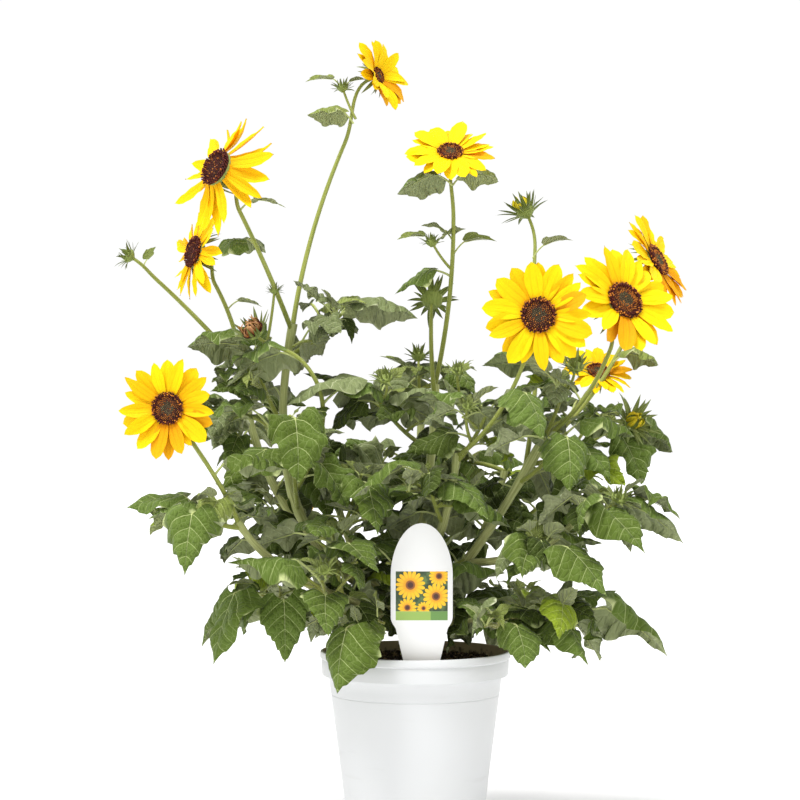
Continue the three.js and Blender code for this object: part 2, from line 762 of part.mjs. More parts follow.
/** Middle and furthest point of a leaf, for the test against its shoot's sphere. */
function leafTip(leaf) {
  return leaf.root
    .clone()
    .addScaledVector(direction(leaf.heading, leaf.rise), leaf.length * LEAF.stalkShare)
    .addScaledVector(direction(leaf.heading, leaf.fall), leaf.length);
}

/** Adds a leaf to a node, turned where it must be to clear other nodes and its own node's blades. */
function growLeaf(node, parts, leaf) {
  const blades = nodeBlades.get(node) ?? [];
  nodeBlades.set(node, blades);
  for (const turn of LEAF.retries) {
    const turned = { ...leaf, heading: leaf.heading + turn };
    const blade = solidOf(leafGeometry(turned, LEAF.clearance, 0.6));
    const box = boxOf(blade);
    const near = blades.filter((other) => other.box.intersectsBox(box));
    const crosses = near.some((other) => !other.solid.intersect(blade).isEmpty());
    if (crosses || !isClear(node, solidOf(leafGeometry(turned, LEAF.clearance)))) continue;
    blades.push({ solid: blade, box });
    occupy(node, solidOf(leafGeometry(turned, GAP)));
    parts.push(solidOf(leafGeometry(turned, 0)));
    return;
  }
}

function finishNode(name, parts, material) {
  const whole = largestPiece(wasm.Manifold.union(parts)).simplify(SMALLEST_EDGE);
  group.add(meshOf(name, whole, material));
}

// ---------------------------------------------------------------- shoots that flower

const nodeParts = new Map(); // node name: its solids
const nodeBlades = new Map(); // node name: the leaf blades that it already holds

/** Sets a bloom or a bud on the end of a stalk, cut back from any limb that passes through its room. */
function growHead(node, parts, shoot, curve, random) {
  const isBloom = shoot.head === 'bloom';
  const geometry = isBloom ? bloomGeometry(shoot.size, random) : budGeometry(shoot.size);
  const solid = trimmed(node, solidOf(aim(geometry, curve.getPoint(1), shoot.face ?? BUD_FACE)));
  parts.push(solid);
  occupy(node, solid);
}

function growFlowerStem(shoot, index) {
  const random = seededRandom(index + 1);
  const curve = limbCurve(startOf(shoot), vector(shoot.tip), vector(shoot.bow));
  limbs.set(shoot.name, curve);
  const parts = [growLimb(shoot.name, curve, STEMS.flowerStalk.radii, STEMS.flowerStalk)];
  growHead(shoot.name, parts, shoot, curve, random);
  for (const side of shoot.side ?? []) {
    const sideCurve = limbCurve(curve.getPoint(side.at), vector(side.tip), new THREE.Vector3(0, 0, -2));
    parts.push(growLimb(shoot.name, sideCurve, STEMS.sideStalk.radii, STEMS.sideStalk));
    growHead(shoot.name, parts, side, sideCurve, random);
    side.curve = sideCurve;
  }
  nodeParts.set(shoot.name, parts);
}

function growFlowerLeaves(shoot, index) {
  const random = seededRandom(index + 101);
  const parts = nodeParts.get(shoot.name);
  const stems = [{ curve: limbs.get(shoot.name), leaves: shoot.leaves }, ...(shoot.side ?? [])];
  for (const { curve, leaves } of stems) {
    for (const [place, heading, fall, length] of leaves) {
      growLeaf(shoot.name, parts, leafAt(curve, place, heading, fall, length, random));
    }
  }
  finishNode(shoot.name, parts, rayYellow);
}

// ---------------------------------------------------------------- leafy shoots

/** Heading of a shoot's tip away from the plant's middle line, in degrees. */
function outwardHeading(point) {
  return THREE.MathUtils.radToDeg(Math.atan2(point.y, point.x));
}

function growShootStem(shoot, index) {
  const start = startOf(shoot);
  const tip = vector(shoot.tip);
  const sag = SHOOT.sag * start.distanceTo(tip);
  const curve = limbCurve(start, tip, new THREE.Vector3(0, 0, -sag));
  limbs.set(shoot.name, curve);
  const parts = [growLimb(shoot.name, curve, STEMS.shoot.radii, STEMS.shoot)];
  shoot.random = seededRandom(index + 201);
  if (shoot.bud) growHead(shoot.name, parts, { head: 'bud', size: shoot.bud }, curve, shoot.random);
  nodeParts.set(shoot.name, parts);
}

/** Side twigs, alternately left and right of the shoot's stem, as curves. */
function twigCurves(shoot, curve, random) {
  const outward = outwardHeading(curve.getPoint(1));
  const length = curve.getLength();
  return Array.from({ length: SHOOT.twigs }, (_, i) => {
    const [from, span] = SHOOT.twigPlaces;
    const start = curve.getPoint(from + (span * (i + 0.5)) / SHOOT.twigs);
    const heading = outward + (i % 2 === 0 ? 1 : -1) * within(SHOOT.twigTurn, random);
    const pitch = within(SHOOT.twigPitch, random);
    const longest = Math.min(0.62 * length, 0.55 * shoot.reach);
    const reach = longest * within(SHOOT.twigLength, random);
    const tip = start.clone().addScaledVector(direction(heading, pitch), reach);
    return limbCurve(start, tip, new THREE.Vector3(0, 0, SHOOT.twigRise * reach));
  });
}

/** Leaves of one stem or twig, spiralling round it and leaning to the outside of the crown. */
function spiralLeaves(shoot, curve, { count, from }, random) {
  const outward = outwardHeading(curve.getPoint(1));
  const phase = 360 * random();
  return Array.from({ length: count }, (_, i) => {
    const place = from + ((0.96 - from) * (i + 0.6)) / count;
    const turn = ((phase + i * GOLDEN_TURN) % 360) - 180;
    const heading = outward + turn * SHOOT.leafTurn + SHOOT.leafStray * (random() - 0.5);
    const fall = within(SHOOT.leafFall, random);
    const length = shoot.leaf * (1.08 - 0.3 * place) * within(SHOOT.leafSize, random);
    return leafAt(curve, place, heading, fall, length, random);
  });
}

function growFoliage(shoot) {
  const { random } = shoot;
  const curve = limbs.get(shoot.name);
  const parts = nodeParts.get(shoot.name);
  const middle = curve.getPoint(SHOOT.middle);
  const leaves = shoot.marked.map(([place, heading, fall, length]) =>
    leafAt(curve, place, heading, fall, length, random),
  );
  const { radii, sides, rings } = STEMS.twig;
  const twigSolid = (twig, grow) =>
    solidOf(limbGeometry(twig, radii[0] + grow, radii[1] + grow, sides, rings));
  for (const twig of twigCurves(shoot, curve, random)) {
    const room = twigSolid(twig, SHOOT.twigRoom);
    const isInside = middle.distanceTo(twig.getPoint(1)) < shoot.reach;
    if (!isInside || !isClear(shoot.name, room)) continue;
    occupy(shoot.name, room);
    parts.push(twigSolid(twig, 0));
    leaves.push(...spiralLeaves(shoot, twig, SHOOT.twigLeaves, random));
  }
  leaves.push(...spiralLeaves(shoot, curve, SHOOT.stemLeaves, random));
  for (const leaf of leaves) {
    if (middle.distanceTo(leafTip(leaf)) < shoot.reach) growLeaf(shoot.name, parts, leaf);
  }
  finishNode(shoot.name, parts, leafGreen);
}

// ---------------------------------------------------------------- the whole plant

addPotAndLabel();
addMainStem();
addBoughs();
FLOWER_SHOOTS.forEach(growFlowerStem);
LEAFY_SHOOTS.forEach(growShootStem);
FLOWER_SHOOTS.forEach(growFlowerLeaves);
LEAFY_SHOOTS.forEach(growFoliage);

export default group;
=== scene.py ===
"""Bushy branching sunflower in a round white nursery pot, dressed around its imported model.

Places and sizes of the plant are in millimetres in the plant's frame, with +Z up and the label on the
-Y side. They become metres when a mesh is made.
"""

from __future__ import annotations

import logging
import math
from collections.abc import Iterable, Iterator, Mapping, Sequence
from dataclasses import dataclass, field, replace
from enum import Enum
from functools import cache, partialmethod

import bmesh
import bpy
import numpy as np
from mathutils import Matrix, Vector
from mathutils.bvhtree import BVHTree

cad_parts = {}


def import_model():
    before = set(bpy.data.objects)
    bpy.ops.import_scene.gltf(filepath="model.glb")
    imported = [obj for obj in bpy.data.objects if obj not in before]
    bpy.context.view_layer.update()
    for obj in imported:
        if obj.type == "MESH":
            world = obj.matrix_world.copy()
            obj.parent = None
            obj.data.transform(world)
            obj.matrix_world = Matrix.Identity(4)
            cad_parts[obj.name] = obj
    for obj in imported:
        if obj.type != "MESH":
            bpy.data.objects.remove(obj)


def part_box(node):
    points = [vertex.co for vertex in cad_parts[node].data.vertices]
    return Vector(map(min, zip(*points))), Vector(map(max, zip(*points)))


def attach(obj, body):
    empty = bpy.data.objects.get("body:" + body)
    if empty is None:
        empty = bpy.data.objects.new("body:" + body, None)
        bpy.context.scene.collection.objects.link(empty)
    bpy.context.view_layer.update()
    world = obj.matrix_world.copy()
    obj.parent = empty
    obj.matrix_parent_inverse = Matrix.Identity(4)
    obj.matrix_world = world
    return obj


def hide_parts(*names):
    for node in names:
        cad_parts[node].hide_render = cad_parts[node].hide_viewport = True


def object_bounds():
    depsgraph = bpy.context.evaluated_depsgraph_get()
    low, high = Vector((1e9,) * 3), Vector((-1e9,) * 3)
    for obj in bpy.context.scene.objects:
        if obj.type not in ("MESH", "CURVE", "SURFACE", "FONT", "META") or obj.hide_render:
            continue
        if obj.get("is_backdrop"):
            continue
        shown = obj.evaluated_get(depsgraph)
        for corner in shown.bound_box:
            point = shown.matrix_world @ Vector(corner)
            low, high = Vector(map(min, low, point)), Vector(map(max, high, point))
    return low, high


log = logging.getLogger("sunflower")

Array = np.ndarray
Triple = tuple[float, float, float]
Span = tuple[float, float]
Colour = tuple[float, float, float]

MM = 0.001
BODY = "root"
GOLDEN_TURN = 137.5
YOUNG_LENGTH = 30.0
UPRIGHT = np.array((0.0, 0.0, 1.0))


# ------------------------------------------------------------------ numbers and directions


class Seeds:
    """A repeatable source of numbers from 0 to 1."""

    def __init__(self, seed: int) -> None:
        """Starts the run of draws that a whole number picks."""
        self.state = seed * 7919 + 104729

    def __call__(self) -> float:
        """Returns the next draw."""
        self.state = self.state * 16807 % 2147483647
        return self.state / 2147483647

    def within(self, low: float, reach: float) -> float:
        """Returns a draw in a span, given by its first value and the reach from it."""
        return low + reach * self()

    def around(self, half: float) -> float:
        """Returns a draw from -half to half."""
        return half * (2 * self() - 1)


def direction(heading: float, pitch: float) -> Array:
    """Returns the unit vector at a heading round +Z and a pitch above the level, in degrees.

    Args:
        heading: Degrees round +Z, from +X towards +Y.
        pitch: Degrees above the level.

    Returns:
        The vector.
    """
    turn, rise = math.radians(heading), math.radians(pitch)
    level = math.cos(rise)
    return np.array((level * math.cos(turn), level * math.sin(turn), math.sin(rise)))


def heading_of(vector: Array) -> float:
    """Returns the heading of a vector round +Z, in degrees."""
    return math.degrees(math.atan2(vector[1], vector[0]))


def unit(vector: Array) -> Array:
    """Returns a vector, or each row of an array of vectors, at a length of 1."""
    return vector / np.maximum(np.linalg.norm(vector, axis=-1, keepdims=True), 1e-9)


def axes(facing: Array) -> tuple[Array, Array]:
    """Returns the right and up of one who looks against a head's facing."""
    right = unit(np.cross(-facing, UPRIGHT))
    return right, np.cross(right, -facing)


@dataclass(frozen=True)
class Bend:
    """A limb's middle line: a curve from a start to a tip, drawn towards a control point."""

    start: Array
    control: Array
    tip: Array

    @classmethod
    def between(cls, start: Sequence[float], tip: Sequence[float], bow: Sequence[float]) -> Bend:
        """Makes the curve between two points whose middle is pushed aside by a bow."""
        first, last = np.array(start, dtype=float), np.array(tip, dtype=float)
        return cls(first, (first + last) / 2 + 2 * np.array(bow, dtype=float), last)

    def point(self, share: float | Array) -> Array:
        """Returns the point, or a row of points, at one share or an array of shares of the way."""
        t = np.asarray(share, dtype=float)[..., None]
        return (1 - t) ** 2 * self.start + 2 * t * (1 - t) * self.control + t * t * self.tip

    def points(self, count: int) -> Array:
        """Returns points from start to tip."""
        return self.point(np.linspace(0, 1, count))

    def length(self) -> float:
        """Returns the length of the curve."""
        return float(np.linalg.norm(np.diff(self.points(201), axis=0), axis=1).sum())


# ------------------------------------------------------------------ moulds and joined meshes


@dataclass(frozen=True)
class Mould:
    """A small mesh kept as arrays, so that bent copies of it can be joined into one piece.

    kinds says for each face which of a piece's finishes it takes, counted from that of the copy.
    """

    verts: Array
    loops: Array
    starts: Array
    kinds: Array
    uvs: Array

    @classmethod
    def cast(cls, bm: bmesh.types.BMesh) -> Mould:
        """Reads a mesh into arrays and frees it.

        Args:
            bm: The mesh, which has gone afterwards.

        Returns:
            The mould.
        """
        bm.verts.index_update()
        layer = bm.loops.layers.uv.verify()
        corners = [corner for face in bm.faces for corner in face.loops]
        mould = cls(
            verts=np.array([vert.co[:] for vert in bm.verts]),
            loops=np.array([corner.vert.index for corner in corners]),
            starts=np.cumsum([0, *(len(face.loops) for face in bm.faces)])[:-1],
            kinds=np.array([face.material_index for face in bm.faces]),
            uvs=np.array([corner[layer].uv[:] for corner in corners]),
        )
        bm.free()
        return mould


class Spray:
    """Collects bent or placed copies of moulds and joins them into one mesh."""

    def __init__(self) -> None:
        """Starts with nothing in it."""
        self.copies: list[tuple[Array, ...]] = []
        self.vert_count = self.loop_count = 0

    def add(self, mould: Mould, verts: Array, kind: int = 0, uv_scale: Span = (1, 1)) -> None:
        """Adds one copy.

        Args:
            mould: Gives the faces.
            verts: The copy's own vertices in millimetres, in the mould's order.
            kind: Finish that the mould's first kind of face takes.
            uv_scale: Stretch of the pattern across and along.
        """
        self.copies.append((verts, mould.loops + self.vert_count, mould.starts + self.loop_count,
                            mould.kinds + kind, mould.uvs * np.array(uv_scale)))
        self.vert_count += len(verts)
        self.loop_count += len(mould.loops)

    def mesh(self, name: str, sharp: float = 75.0) -> bpy.types.Mesh:
        """Joins the copies into one mesh in metres, shaded as shade says.

        Args:
            name: Name of the mesh.
            sharp: Edges that turn by more degrees than this stay sharp.

        Returns:
            The mesh.
        """
        verts, loops, starts, kinds, uvs = (np.concatenate(part) for part in zip(*self.copies))
        mesh = bpy.data.meshes.new(name)
        mesh.vertices.add(len(verts))
        mesh.vertices.foreach_set("co", (verts * MM).ravel())
        mesh.loops.add(len(loops))
        mesh.loops.foreach_set("vertex_index", loops.astype(np.int32))
        mesh.polygons.add(len(starts))
        mesh.polygons.foreach_set("loop_start", starts.astype(np.int32))
        mesh.polygons.foreach_set("material_index", kinds.astype(np.int32))
        mesh.update(calc_edges=True)
        mesh.uv_layers.new(name="surface").data.foreach_set("uv", uvs.ravel())
        mesh.validate()
        return shade(mesh, sharp)


def shade(mesh: bpy.types.Mesh, sharp: float) -> bpy.types.Mesh:
    """Shades a mesh smooth, apart from edges that turn by more than some degrees.

    Args:
        mesh: The mesh.
        sharp: Edges that turn by more degrees than this stay sharp.

    Returns:
        The same mesh.
    """
    mesh.shade_smooth()
    mesh.set_sharp_from_angle(angle=math.radians(sharp))
    return mesh


def mesh_of(bm: bmesh.types.BMesh, name: str, sharp: float = 40.0) -> bpy.types.Mesh:
    """Turns a mesh in millimetres into a finished one in metres and frees it.

    Args:
        bm: The mesh in millimetres.
        name: Name of the finished one.
        sharp: Edges that turn by more degrees than this stay sharp.

    Returns:
        The finished mesh.
    """
    bmesh.ops.scale(bm, vec=(MM, MM, MM), verts=bm.verts)
    mesh = bpy.data.meshes.new(name)
    bm.to_mesh(mesh)
    bm.free()
    return shade(mesh, sharp)


def lathe(profile: Iterable[Span], steps: int, merge: float = 0.01) -> bmesh.types.BMesh:
    """Spins a profile about +Z into a shell whose faces point outwards.

    Args:
        profile: Radius and height of its points, from one pole to the other.
        steps: Faces round the shell.
        merge: Points closer than this become one, as at the poles.

    Returns:
        The shell.
    """
    bm = bmesh.new()
    outline = [bm.verts.new((radius, 0, z)) for radius, z in profile]
    edges = [bm.edges.new(pair) for pair in zip(outline, outline[1:])]
    bmesh.ops.spin(bm, geom=outline + edges, cent=(0, 0, 0), axis=(0, 0, 1), angle=math.tau,
                   steps=steps, use_merge=True)
    bmesh.ops.remove_doubles(bm, verts=bm.verts, dist=merge)
    bmesh.ops.recalc_face_normals(bm, faces=bm.faces)
    return bm


@dataclass
class Piece:
    """What a finished piece is called, what it is made of and which solids it stands for."""

    name: str
    slot: str
    finishes: Sequence[Finish]
    nodes: Sequence[str] = ()

    def show(self, mesh: bpy.types.Mesh) -> bpy.types.Object:
        """Puts a mesh in the scene as this piece, at the origin.

        Args:
            mesh: The piece's mesh in metres.

        Returns:
            The piece.
        """
        for finish in self.finishes:
            mesh.materials.append(finish.material())
        piece = bpy.data.objects.new(self.name, mesh)
        bpy.context.scene.collection.objects.link(piece)
        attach(piece, BODY)
        if self.nodes:
            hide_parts(*self.nodes)
        faces = sum(len(polygon.vertices) - 2 for polygon in mesh.polygons)
        log.info("%s: %d triangles, stands for %d nodes", self.name, faces, len(self.nodes))
        return piece

    def join(self, spray: Spray, sharp: float = 75.0) -> bpy.types.Object:
        """Puts a spray in the scene as this piece."""
        return self.show(spray.mesh(self.name, sharp))


# ------------------------------------------------------------------ thin sheets: leaves, rays, bracts


@dataclass(frozen=True)
class Sheet:
    """A thin pointed sheet such as a bract, 1 long, that lies along +Y with its upper side up.

    Its two skins share the margin. The underside is the mould's second kind of face.
    """

    columns: int = 2
    rows: int = 5
    width: float = 0.3
    thickness: float = 0.03
    fold: float = 0.35
    seed: int = 1

    def reach(self, along: float) -> float:
        """Returns the half width over the widest half width at a share of the length."""
        return (0.72 + 1.3 * along * (1 - along)) * (1 - along) ** 0.75

    def place(self, across: float, along: float, row: int) -> Triple:
        """Returns where a grid point goes.

        Args:
            across: -1 at the left margin, 1 at the right one.
            along: 0 at the base, 1 at the tip.
            row: Number of the grid's row, from the base; not used here.

        Returns:
            Its place in shares of the length.
        """
        x = across * self.reach(along) * self.width / 2
        return x, along, -self.fold * abs(x)

    def mould(self) -> Mould:
        """Returns the sheet as a closed shell of two skins."""
        bm = bmesh.new()
        bmesh.ops.create_grid(bm, x_segments=self.columns, y_segments=self.rows, size=0.5)
        depth = {}
        for vert in bm.verts:
            across, along = 2 * vert.co.x, vert.co.y + 0.5
            row = round(along * self.rows)
            inner = min(1.0, row, self.rows - row) * (1 - abs(across) ** 3)
            vert.co = self.place(across, along, row)
            depth[tuple(vert.co)] = inner * self.thickness
        layer = bm.loops.layers.uv.verify()
        for face in bm.faces:
            for corner in face.loops:
                x, y, _ = corner.vert.co
                corner[layer].uv = (0.5 + 0.92 * x / self.width, 0.16 + 0.8 * y)
        copied = bmesh.ops.duplicate(bm, geom=list(bm.faces))["geom"]
        under = [part for part in copied if isinstance(part, bmesh.types.BMFace)]
        bmesh.ops.reverse_faces(bm, faces=under)
        for face in under:
            face.material_index = 1
        for part in copied:
            if isinstance(part, bmesh.types.BMVert):
                part.co.z -= depth[tuple(part.co)]
        bmesh.ops.remove_doubles(bm, verts=bm.verts, dist=1e-5)
        return Mould.cast(bm)


@dataclass(frozen=True)
class Blade(Sheet):
    """A heart-shaped leaf blade with coarse teeth and a waved margin."""

    columns: int = 10
    rows: int = 22
    width: float = 0.86
    thickness: float = 0.008
    lobe: float = 0.2
    base: float = 0.06
    point: float = 1.2
    teeth: float = 0.07
    fold: float = 0.2
    curl: float = 0.2
    wave: float = 0.06
    waves: float = 1.7
    quilt: float = 0.015
    power: float = 0.42

    def reach(self, along: float) -> float:
        """Returns the half width as Sheet.reach does, widest near the base."""
        widest = (self.power - self.point * self.base) / (self.power + self.point)
        peak = (widest + self.base) ** self.power * (1 - widest) ** self.point
        rounding = 0.7 + 0.3 * min(1.0, along / 0.1)
        return rounding * (along + self.base) ** self.power * (1 - along) ** self.point / peak

    def place(self, across: float, along: float, row: int) -> Triple:
        """Returns where a grid point goes as Sheet.place does, with teeth, lobes, waves and quilting."""
        side = 1 if across > 0 else 2
        draw = Seeds(self.seed * 101 + side)
        pace, start = draw.within(0.22, 0.13), draw()
        step = 2 * ((row * pace + start) % 1.0) - 1
        edge = abs(across) ** 5
        uneven = 0.07 * math.sin(6.5 * along + self.seed * 2.1 + side * 2)
        reach = self.reach(along)
        x = across * reach * self.width / 2 * (1 + (self.teeth * step + uneven) * edge)
        lean = 0.45 * step * edge / self.rows * (1 if row else 0)
        y = along - self.lobe * across**2 * (1 - along) ** 3 + lean
        swing = math.sin(math.tau * (self.waves * along + 0.31 * side + 0.17 * self.seed))
        z = self.fold * abs(x) + self.wave * swing * across**2 * reach
        z -= self.curl * across**4 * reach * self.width
        puff = self.quilt * reach * (1 - edge) * min(1.0, abs(across) / 0.3)
        z += puff * (0.4 - math.cos(math.tau * 4.2 * (y - 0.85 * abs(x))))
        return x, y, z


@dataclass(frozen=True)
class Ray(Sheet):
    """A yellow ray: long, rounded or notched at its tip, with two grooves along it."""

    columns: int = 6
    rows: int = 10
    width: float = 0.44
    thickness: float = 0.012
    groove: float = 0.01
    notch: float = 0.0
    trough: float = 0.35
    tip: float = 2.1

    def reach(self, along: float) -> float:
        """Returns the half width as Sheet.reach does, narrow at the foot and rounded at the tip."""
        body = 0.46 + 0.54 * math.sin(math.pi / 2 * min(1.0, along / 0.6))
        return body * (1 - max(0.0, (along - 0.45) / 0.55) ** self.tip) ** 0.62

    def place(self, across: float, along: float, row: int) -> Triple:
        """Returns where a grid point goes as Sheet.place does, with grooves and a notched tip."""
        x = across * self.reach(along) * self.width / 2
        y = along - self.notch * along**6 * (1 - abs(across)) ** 2
        swell = math.sin(math.pi * min(1.0, along + 0.12))
        z = self.trough * x * x / self.width + self.groove * math.cos(3 * math.pi * across) * swell
        draw = Seeds(self.seed * 37 + row)
        draw()
        return x, y, z + 0.02 * draw.around(1) * across * along


@dataclass(frozen=True)
class Seat:
    """Where a sheet's base sits, which way it runs and how it bends along its length.

    Angles are in degrees. pitch is the base's rise out of the plane that above stands on, bend is what
    is added to it by the tip, roll turns the sheet about its length, twist is added to it by the tip
    and sway turns the tip aside.
    """

    origin: Array
    ahead: Array
    above: Array
    length: float
    pitch: float
    bend: float = 0.0
    roll: float = 0.0
    twist: float = 0.0
    sway: float = 0.0

    def frame(self, along: Array) -> tuple[Array, Array, Array]:
        """Returns the forward, right and up vectors at shares of the length.

        Args:
            along: Shares of the length.

        Returns:
            The three vectors, each with a row for every share.
        """
        t = np.clip(along, 0.0, 1.0)[..., None]
        pitch = np.radians(self.pitch + self.bend * t)
        yaw = np.radians(self.sway * t * t)
        turn = np.radians(self.roll + self.twist * t)
        right = np.cross(self.ahead, self.above)
        level = np.cos(yaw) * self.ahead + np.sin(yaw) * right
        aside = np.cos(yaw) * right - np.sin(yaw) * self.ahead
        forward = np.cos(pitch) * level + np.sin(pitch) * self.above
        across = aside * np.cos(turn) + np.cross(forward, aside) * np.sin(turn)
        return forward, across, np.cross(across, forward)

    def lay(self, shape: Array) -> Array:
        """Bends a flat sheet and sets it here.

        Args:
            shape: The sheet's vertices in shares of its length.

        Returns:
            The vertices in millimetres.
        """
        steps = np.linspace(0, 1, 13)
        ahead = self.frame((steps[1:] + steps[:-1]) / 2)[0] / (len(steps) - 1)
        line = np.vstack([np.zeros(3), np.cumsum(ahead, axis=0)])
        along = shape[:, 1]
        spine = np.column_stack([np.interp(along, steps, line[:, axis]) for axis in range(3)])
        forward, across, up = self.frame(along)
        spine += forward * (along - np.clip(along, 0, 1))[:, None]
        return self.origin + (spine + across * shape[:, :1] + up * shape[:, 2:]) * self.length


# ------------------------------------------------------------------ tubes: stems, stalks, hairs


class Tubes:
    """Makes closed tapering tubes along middle lines, for stems of every size."""

    def __init__(self) -> None:
        """Starts with no moulds; each is made when it is first asked for."""
        self.moulds: dict[tuple[int, int], Mould] = {}

    def mould(self, sides: int, rings: int) -> Mould:
        """Returns a tube of radius 1 whose z counts its rings, the ends among them.

        Args:
            sides: Faces round the tube.
            rings: Rings of points along it.

        Returns:
            The tube.
        """
        if (sides, rings) not in self.moulds:
            bm = bmesh.new()
            bmesh.ops.create_circle(bm, cap_ends=False, segments=sides, radius=1)
            first = edges = list(bm.edges)
            for _ in range(rings - 1):
                grown = bmesh.ops.extrude_edge_only(bm, edges=edges)["geom"]
                raised = [part for part in grown if isinstance(part, bmesh.types.BMVert)]
                edges = [part for part in grown if isinstance(part, bmesh.types.BMEdge)]
                bmesh.ops.translate(bm, vec=(0, 0, 1), verts=raised)
            for end in (first, edges):
                bmesh.ops.contextual_create(bm, geom=end)
            bmesh.ops.recalc_face_normals(bm, faces=bm.faces)
            self.unwrap(bm, rings)
            self.moulds[sides, rings] = Mould.cast(bm)
        return self.moulds[sides, rings]

    @staticmethod
    def unwrap(bm: bmesh.types.BMesh, rings: int) -> None:
        """Lays the pattern round a tube, once across and once along.

        Args:
            bm: The tube's mesh.
            rings: Rings of points along it.
        """
        layer = bm.loops.layers.uv.verify()
        for face in bm.faces:
            middle = face.calc_center_median()
            facing = math.atan2(middle.y, middle.x)
            for corner in face.loops:
                x, y, z = corner.vert.co
                turn = math.atan2(y, x)
                turn += round((facing - turn) / math.tau) * math.tau
                corner[layer].uv = (turn / math.tau + 0.5, z / (rings - 1))

    def run(self, spray: Spray, line: Array, radii: Array, sides: int, kind: int = 0,
            ribs: float = 0.0) -> None:
        """Adds a tube to a spray.

        Args:
            spray: What it is joined to.
            line: Points of the middle line.
            radii: Radius at each point.
            sides: Faces round the tube.
            kind: Finish of the tube.
            ribs: How far every other side line stands proud, over the radius.
        """
        mould = self.mould(sides, len(line))
        across, aside = carried_frames(line)
        ring = np.round(mould.verts[:, 2]).astype(int)
        x, y = mould.verts[:, :1], mould.verts[:, 1:2]
        side = np.round(np.arctan2(y, x) / math.tau * sides).astype(int)
        reach = radii[ring][:, None] * (1 + ribs * (1 - 2 * (side % 2)))
        verts = line[ring] + (across[ring] * x + aside[ring] * y) * reach
        length = np.linalg.norm(np.diff(line, axis=0), axis=1).sum()
        spray.add(mould, verts, kind, (1, float(length) / 100))


def carried_frames(line: Array) -> tuple[Array, Array]:
    """Returns two vectors across a line at each of its points, carried along it without a twist.

    Args:
        line: Points of the line.

    Returns:
        Both vectors, each with a row for every point.
    """
    ahead = unit(np.gradient(line, axis=0))
    seed = np.array((1.0, 0.0, 0.0)) if abs(ahead[0, 0]) < 0.8 else np.array((0.0, 1.0, 0.0))
    across = []
    for step in ahead:
        seed = unit(seed - step * np.dot(seed, step))
        across.append(seed)
    sides = np.array(across)
    return sides, np.cross(ahead, sides)


# ------------------------------------------------------------------ what grows where


class Head(Enum):
    """What a flower shoot ends in."""

    BLOOM = "bloom"
    BUD = "bud"
    SPENT = "spent"


class Tone(Enum):
    """Colour of a shoot's leaves. The darkest tone is painted shade, for leaves deep or low in the crown;
    the grey tone is the leaves' grey-green bloom, partly painted light on the upper and outer crown; the
    sunlit tone is painted sunlight and backlight.
    """

    MID = 0
    DARK = 1
    GREY = 2
    SUNLIT = 3
    YOUNG = 4


Mark = tuple[float, float, float, float]


@dataclass(frozen=True)
class Limb:
    """A bough: parent, place along it, tip, bow of its middle and radius at each end.

    bare is the stretch that no small leaf hangs in front of.
    """

    name: str
    on: str
    at: float
    tip: Triple
    bow: Triple
    radii: Span
    bare: Span = (0, 0)


@dataclass(frozen=True)
class SideBud:
    """A small bud on a stalk of its own that leaves a flower stalk."""

    at: float
    tip: Triple
    size: float
    leaves: tuple[Mark, ...]


@dataclass(frozen=True)
class FlowerShoot:
    """A stalk that ends in a bloom or a bud.

    face is the head's heading and pitch. Each leaf has a place on the stalk, a heading, a pitch and a
    length. rays and lift shape a bloom: how many rays it has and how far they rise from its plane.
    warm is the turn round the face, from its right, of the side whose rays are painted in shade: there the
    share warmth of them is orange and more are gold, and warmth also sets the share of gold rays elsewhere.
    disc is the dark disc's share of the bloom's radius, opening is how far a bud's rays show, and a
    ripe bloom's disc is all maroon.
    """

    name: str
    on: str
    at: float
    tip: Triple
    bow: Triple
    head: Head
    size: float
    face: Span
    leaves: tuple[Mark, ...]
    side: SideBud | None = None
    rays: int = 19
    lift: float = 10.0
    shade_turn: float = -60.0
    gold_and_shade: float = 0.35
    disc: float = 0.31
    opening: float = 0
    ripe: bool = False


@dataclass(frozen=True)
class LeafyShoot:
    """A leafy shoot: parent, place, tip, radius of the sphere that it keeps to and leaf length.

    marked leaves stand at the crown's edge. open_share is the share of the finer growth left out.
    """

    name: str
    on: str
    at: float
    tip: Triple
    reach: float
    leaf: float
    marked: tuple[Mark, ...]
    open_share: float = 0.2
    tone: Tone = Tone.MID


@dataclass(frozen=True)
class BudStalk:
    """A bud on a short stalk of its own: parent, place, middle of the bud, heading and pitch, width.

    opening is how far its rays show, from 0 to 1.
    """

    on: str
    at: float
    tip: Triple
    face: Span
    size: float
    opening: float = 0


MAIN_STEM = Limb("main_stem", "", 0, (-10, 3, 212), (2, 0, 0), (8.4, 5.6))
MAIN_FOOT = (-2, 0, 164.3)

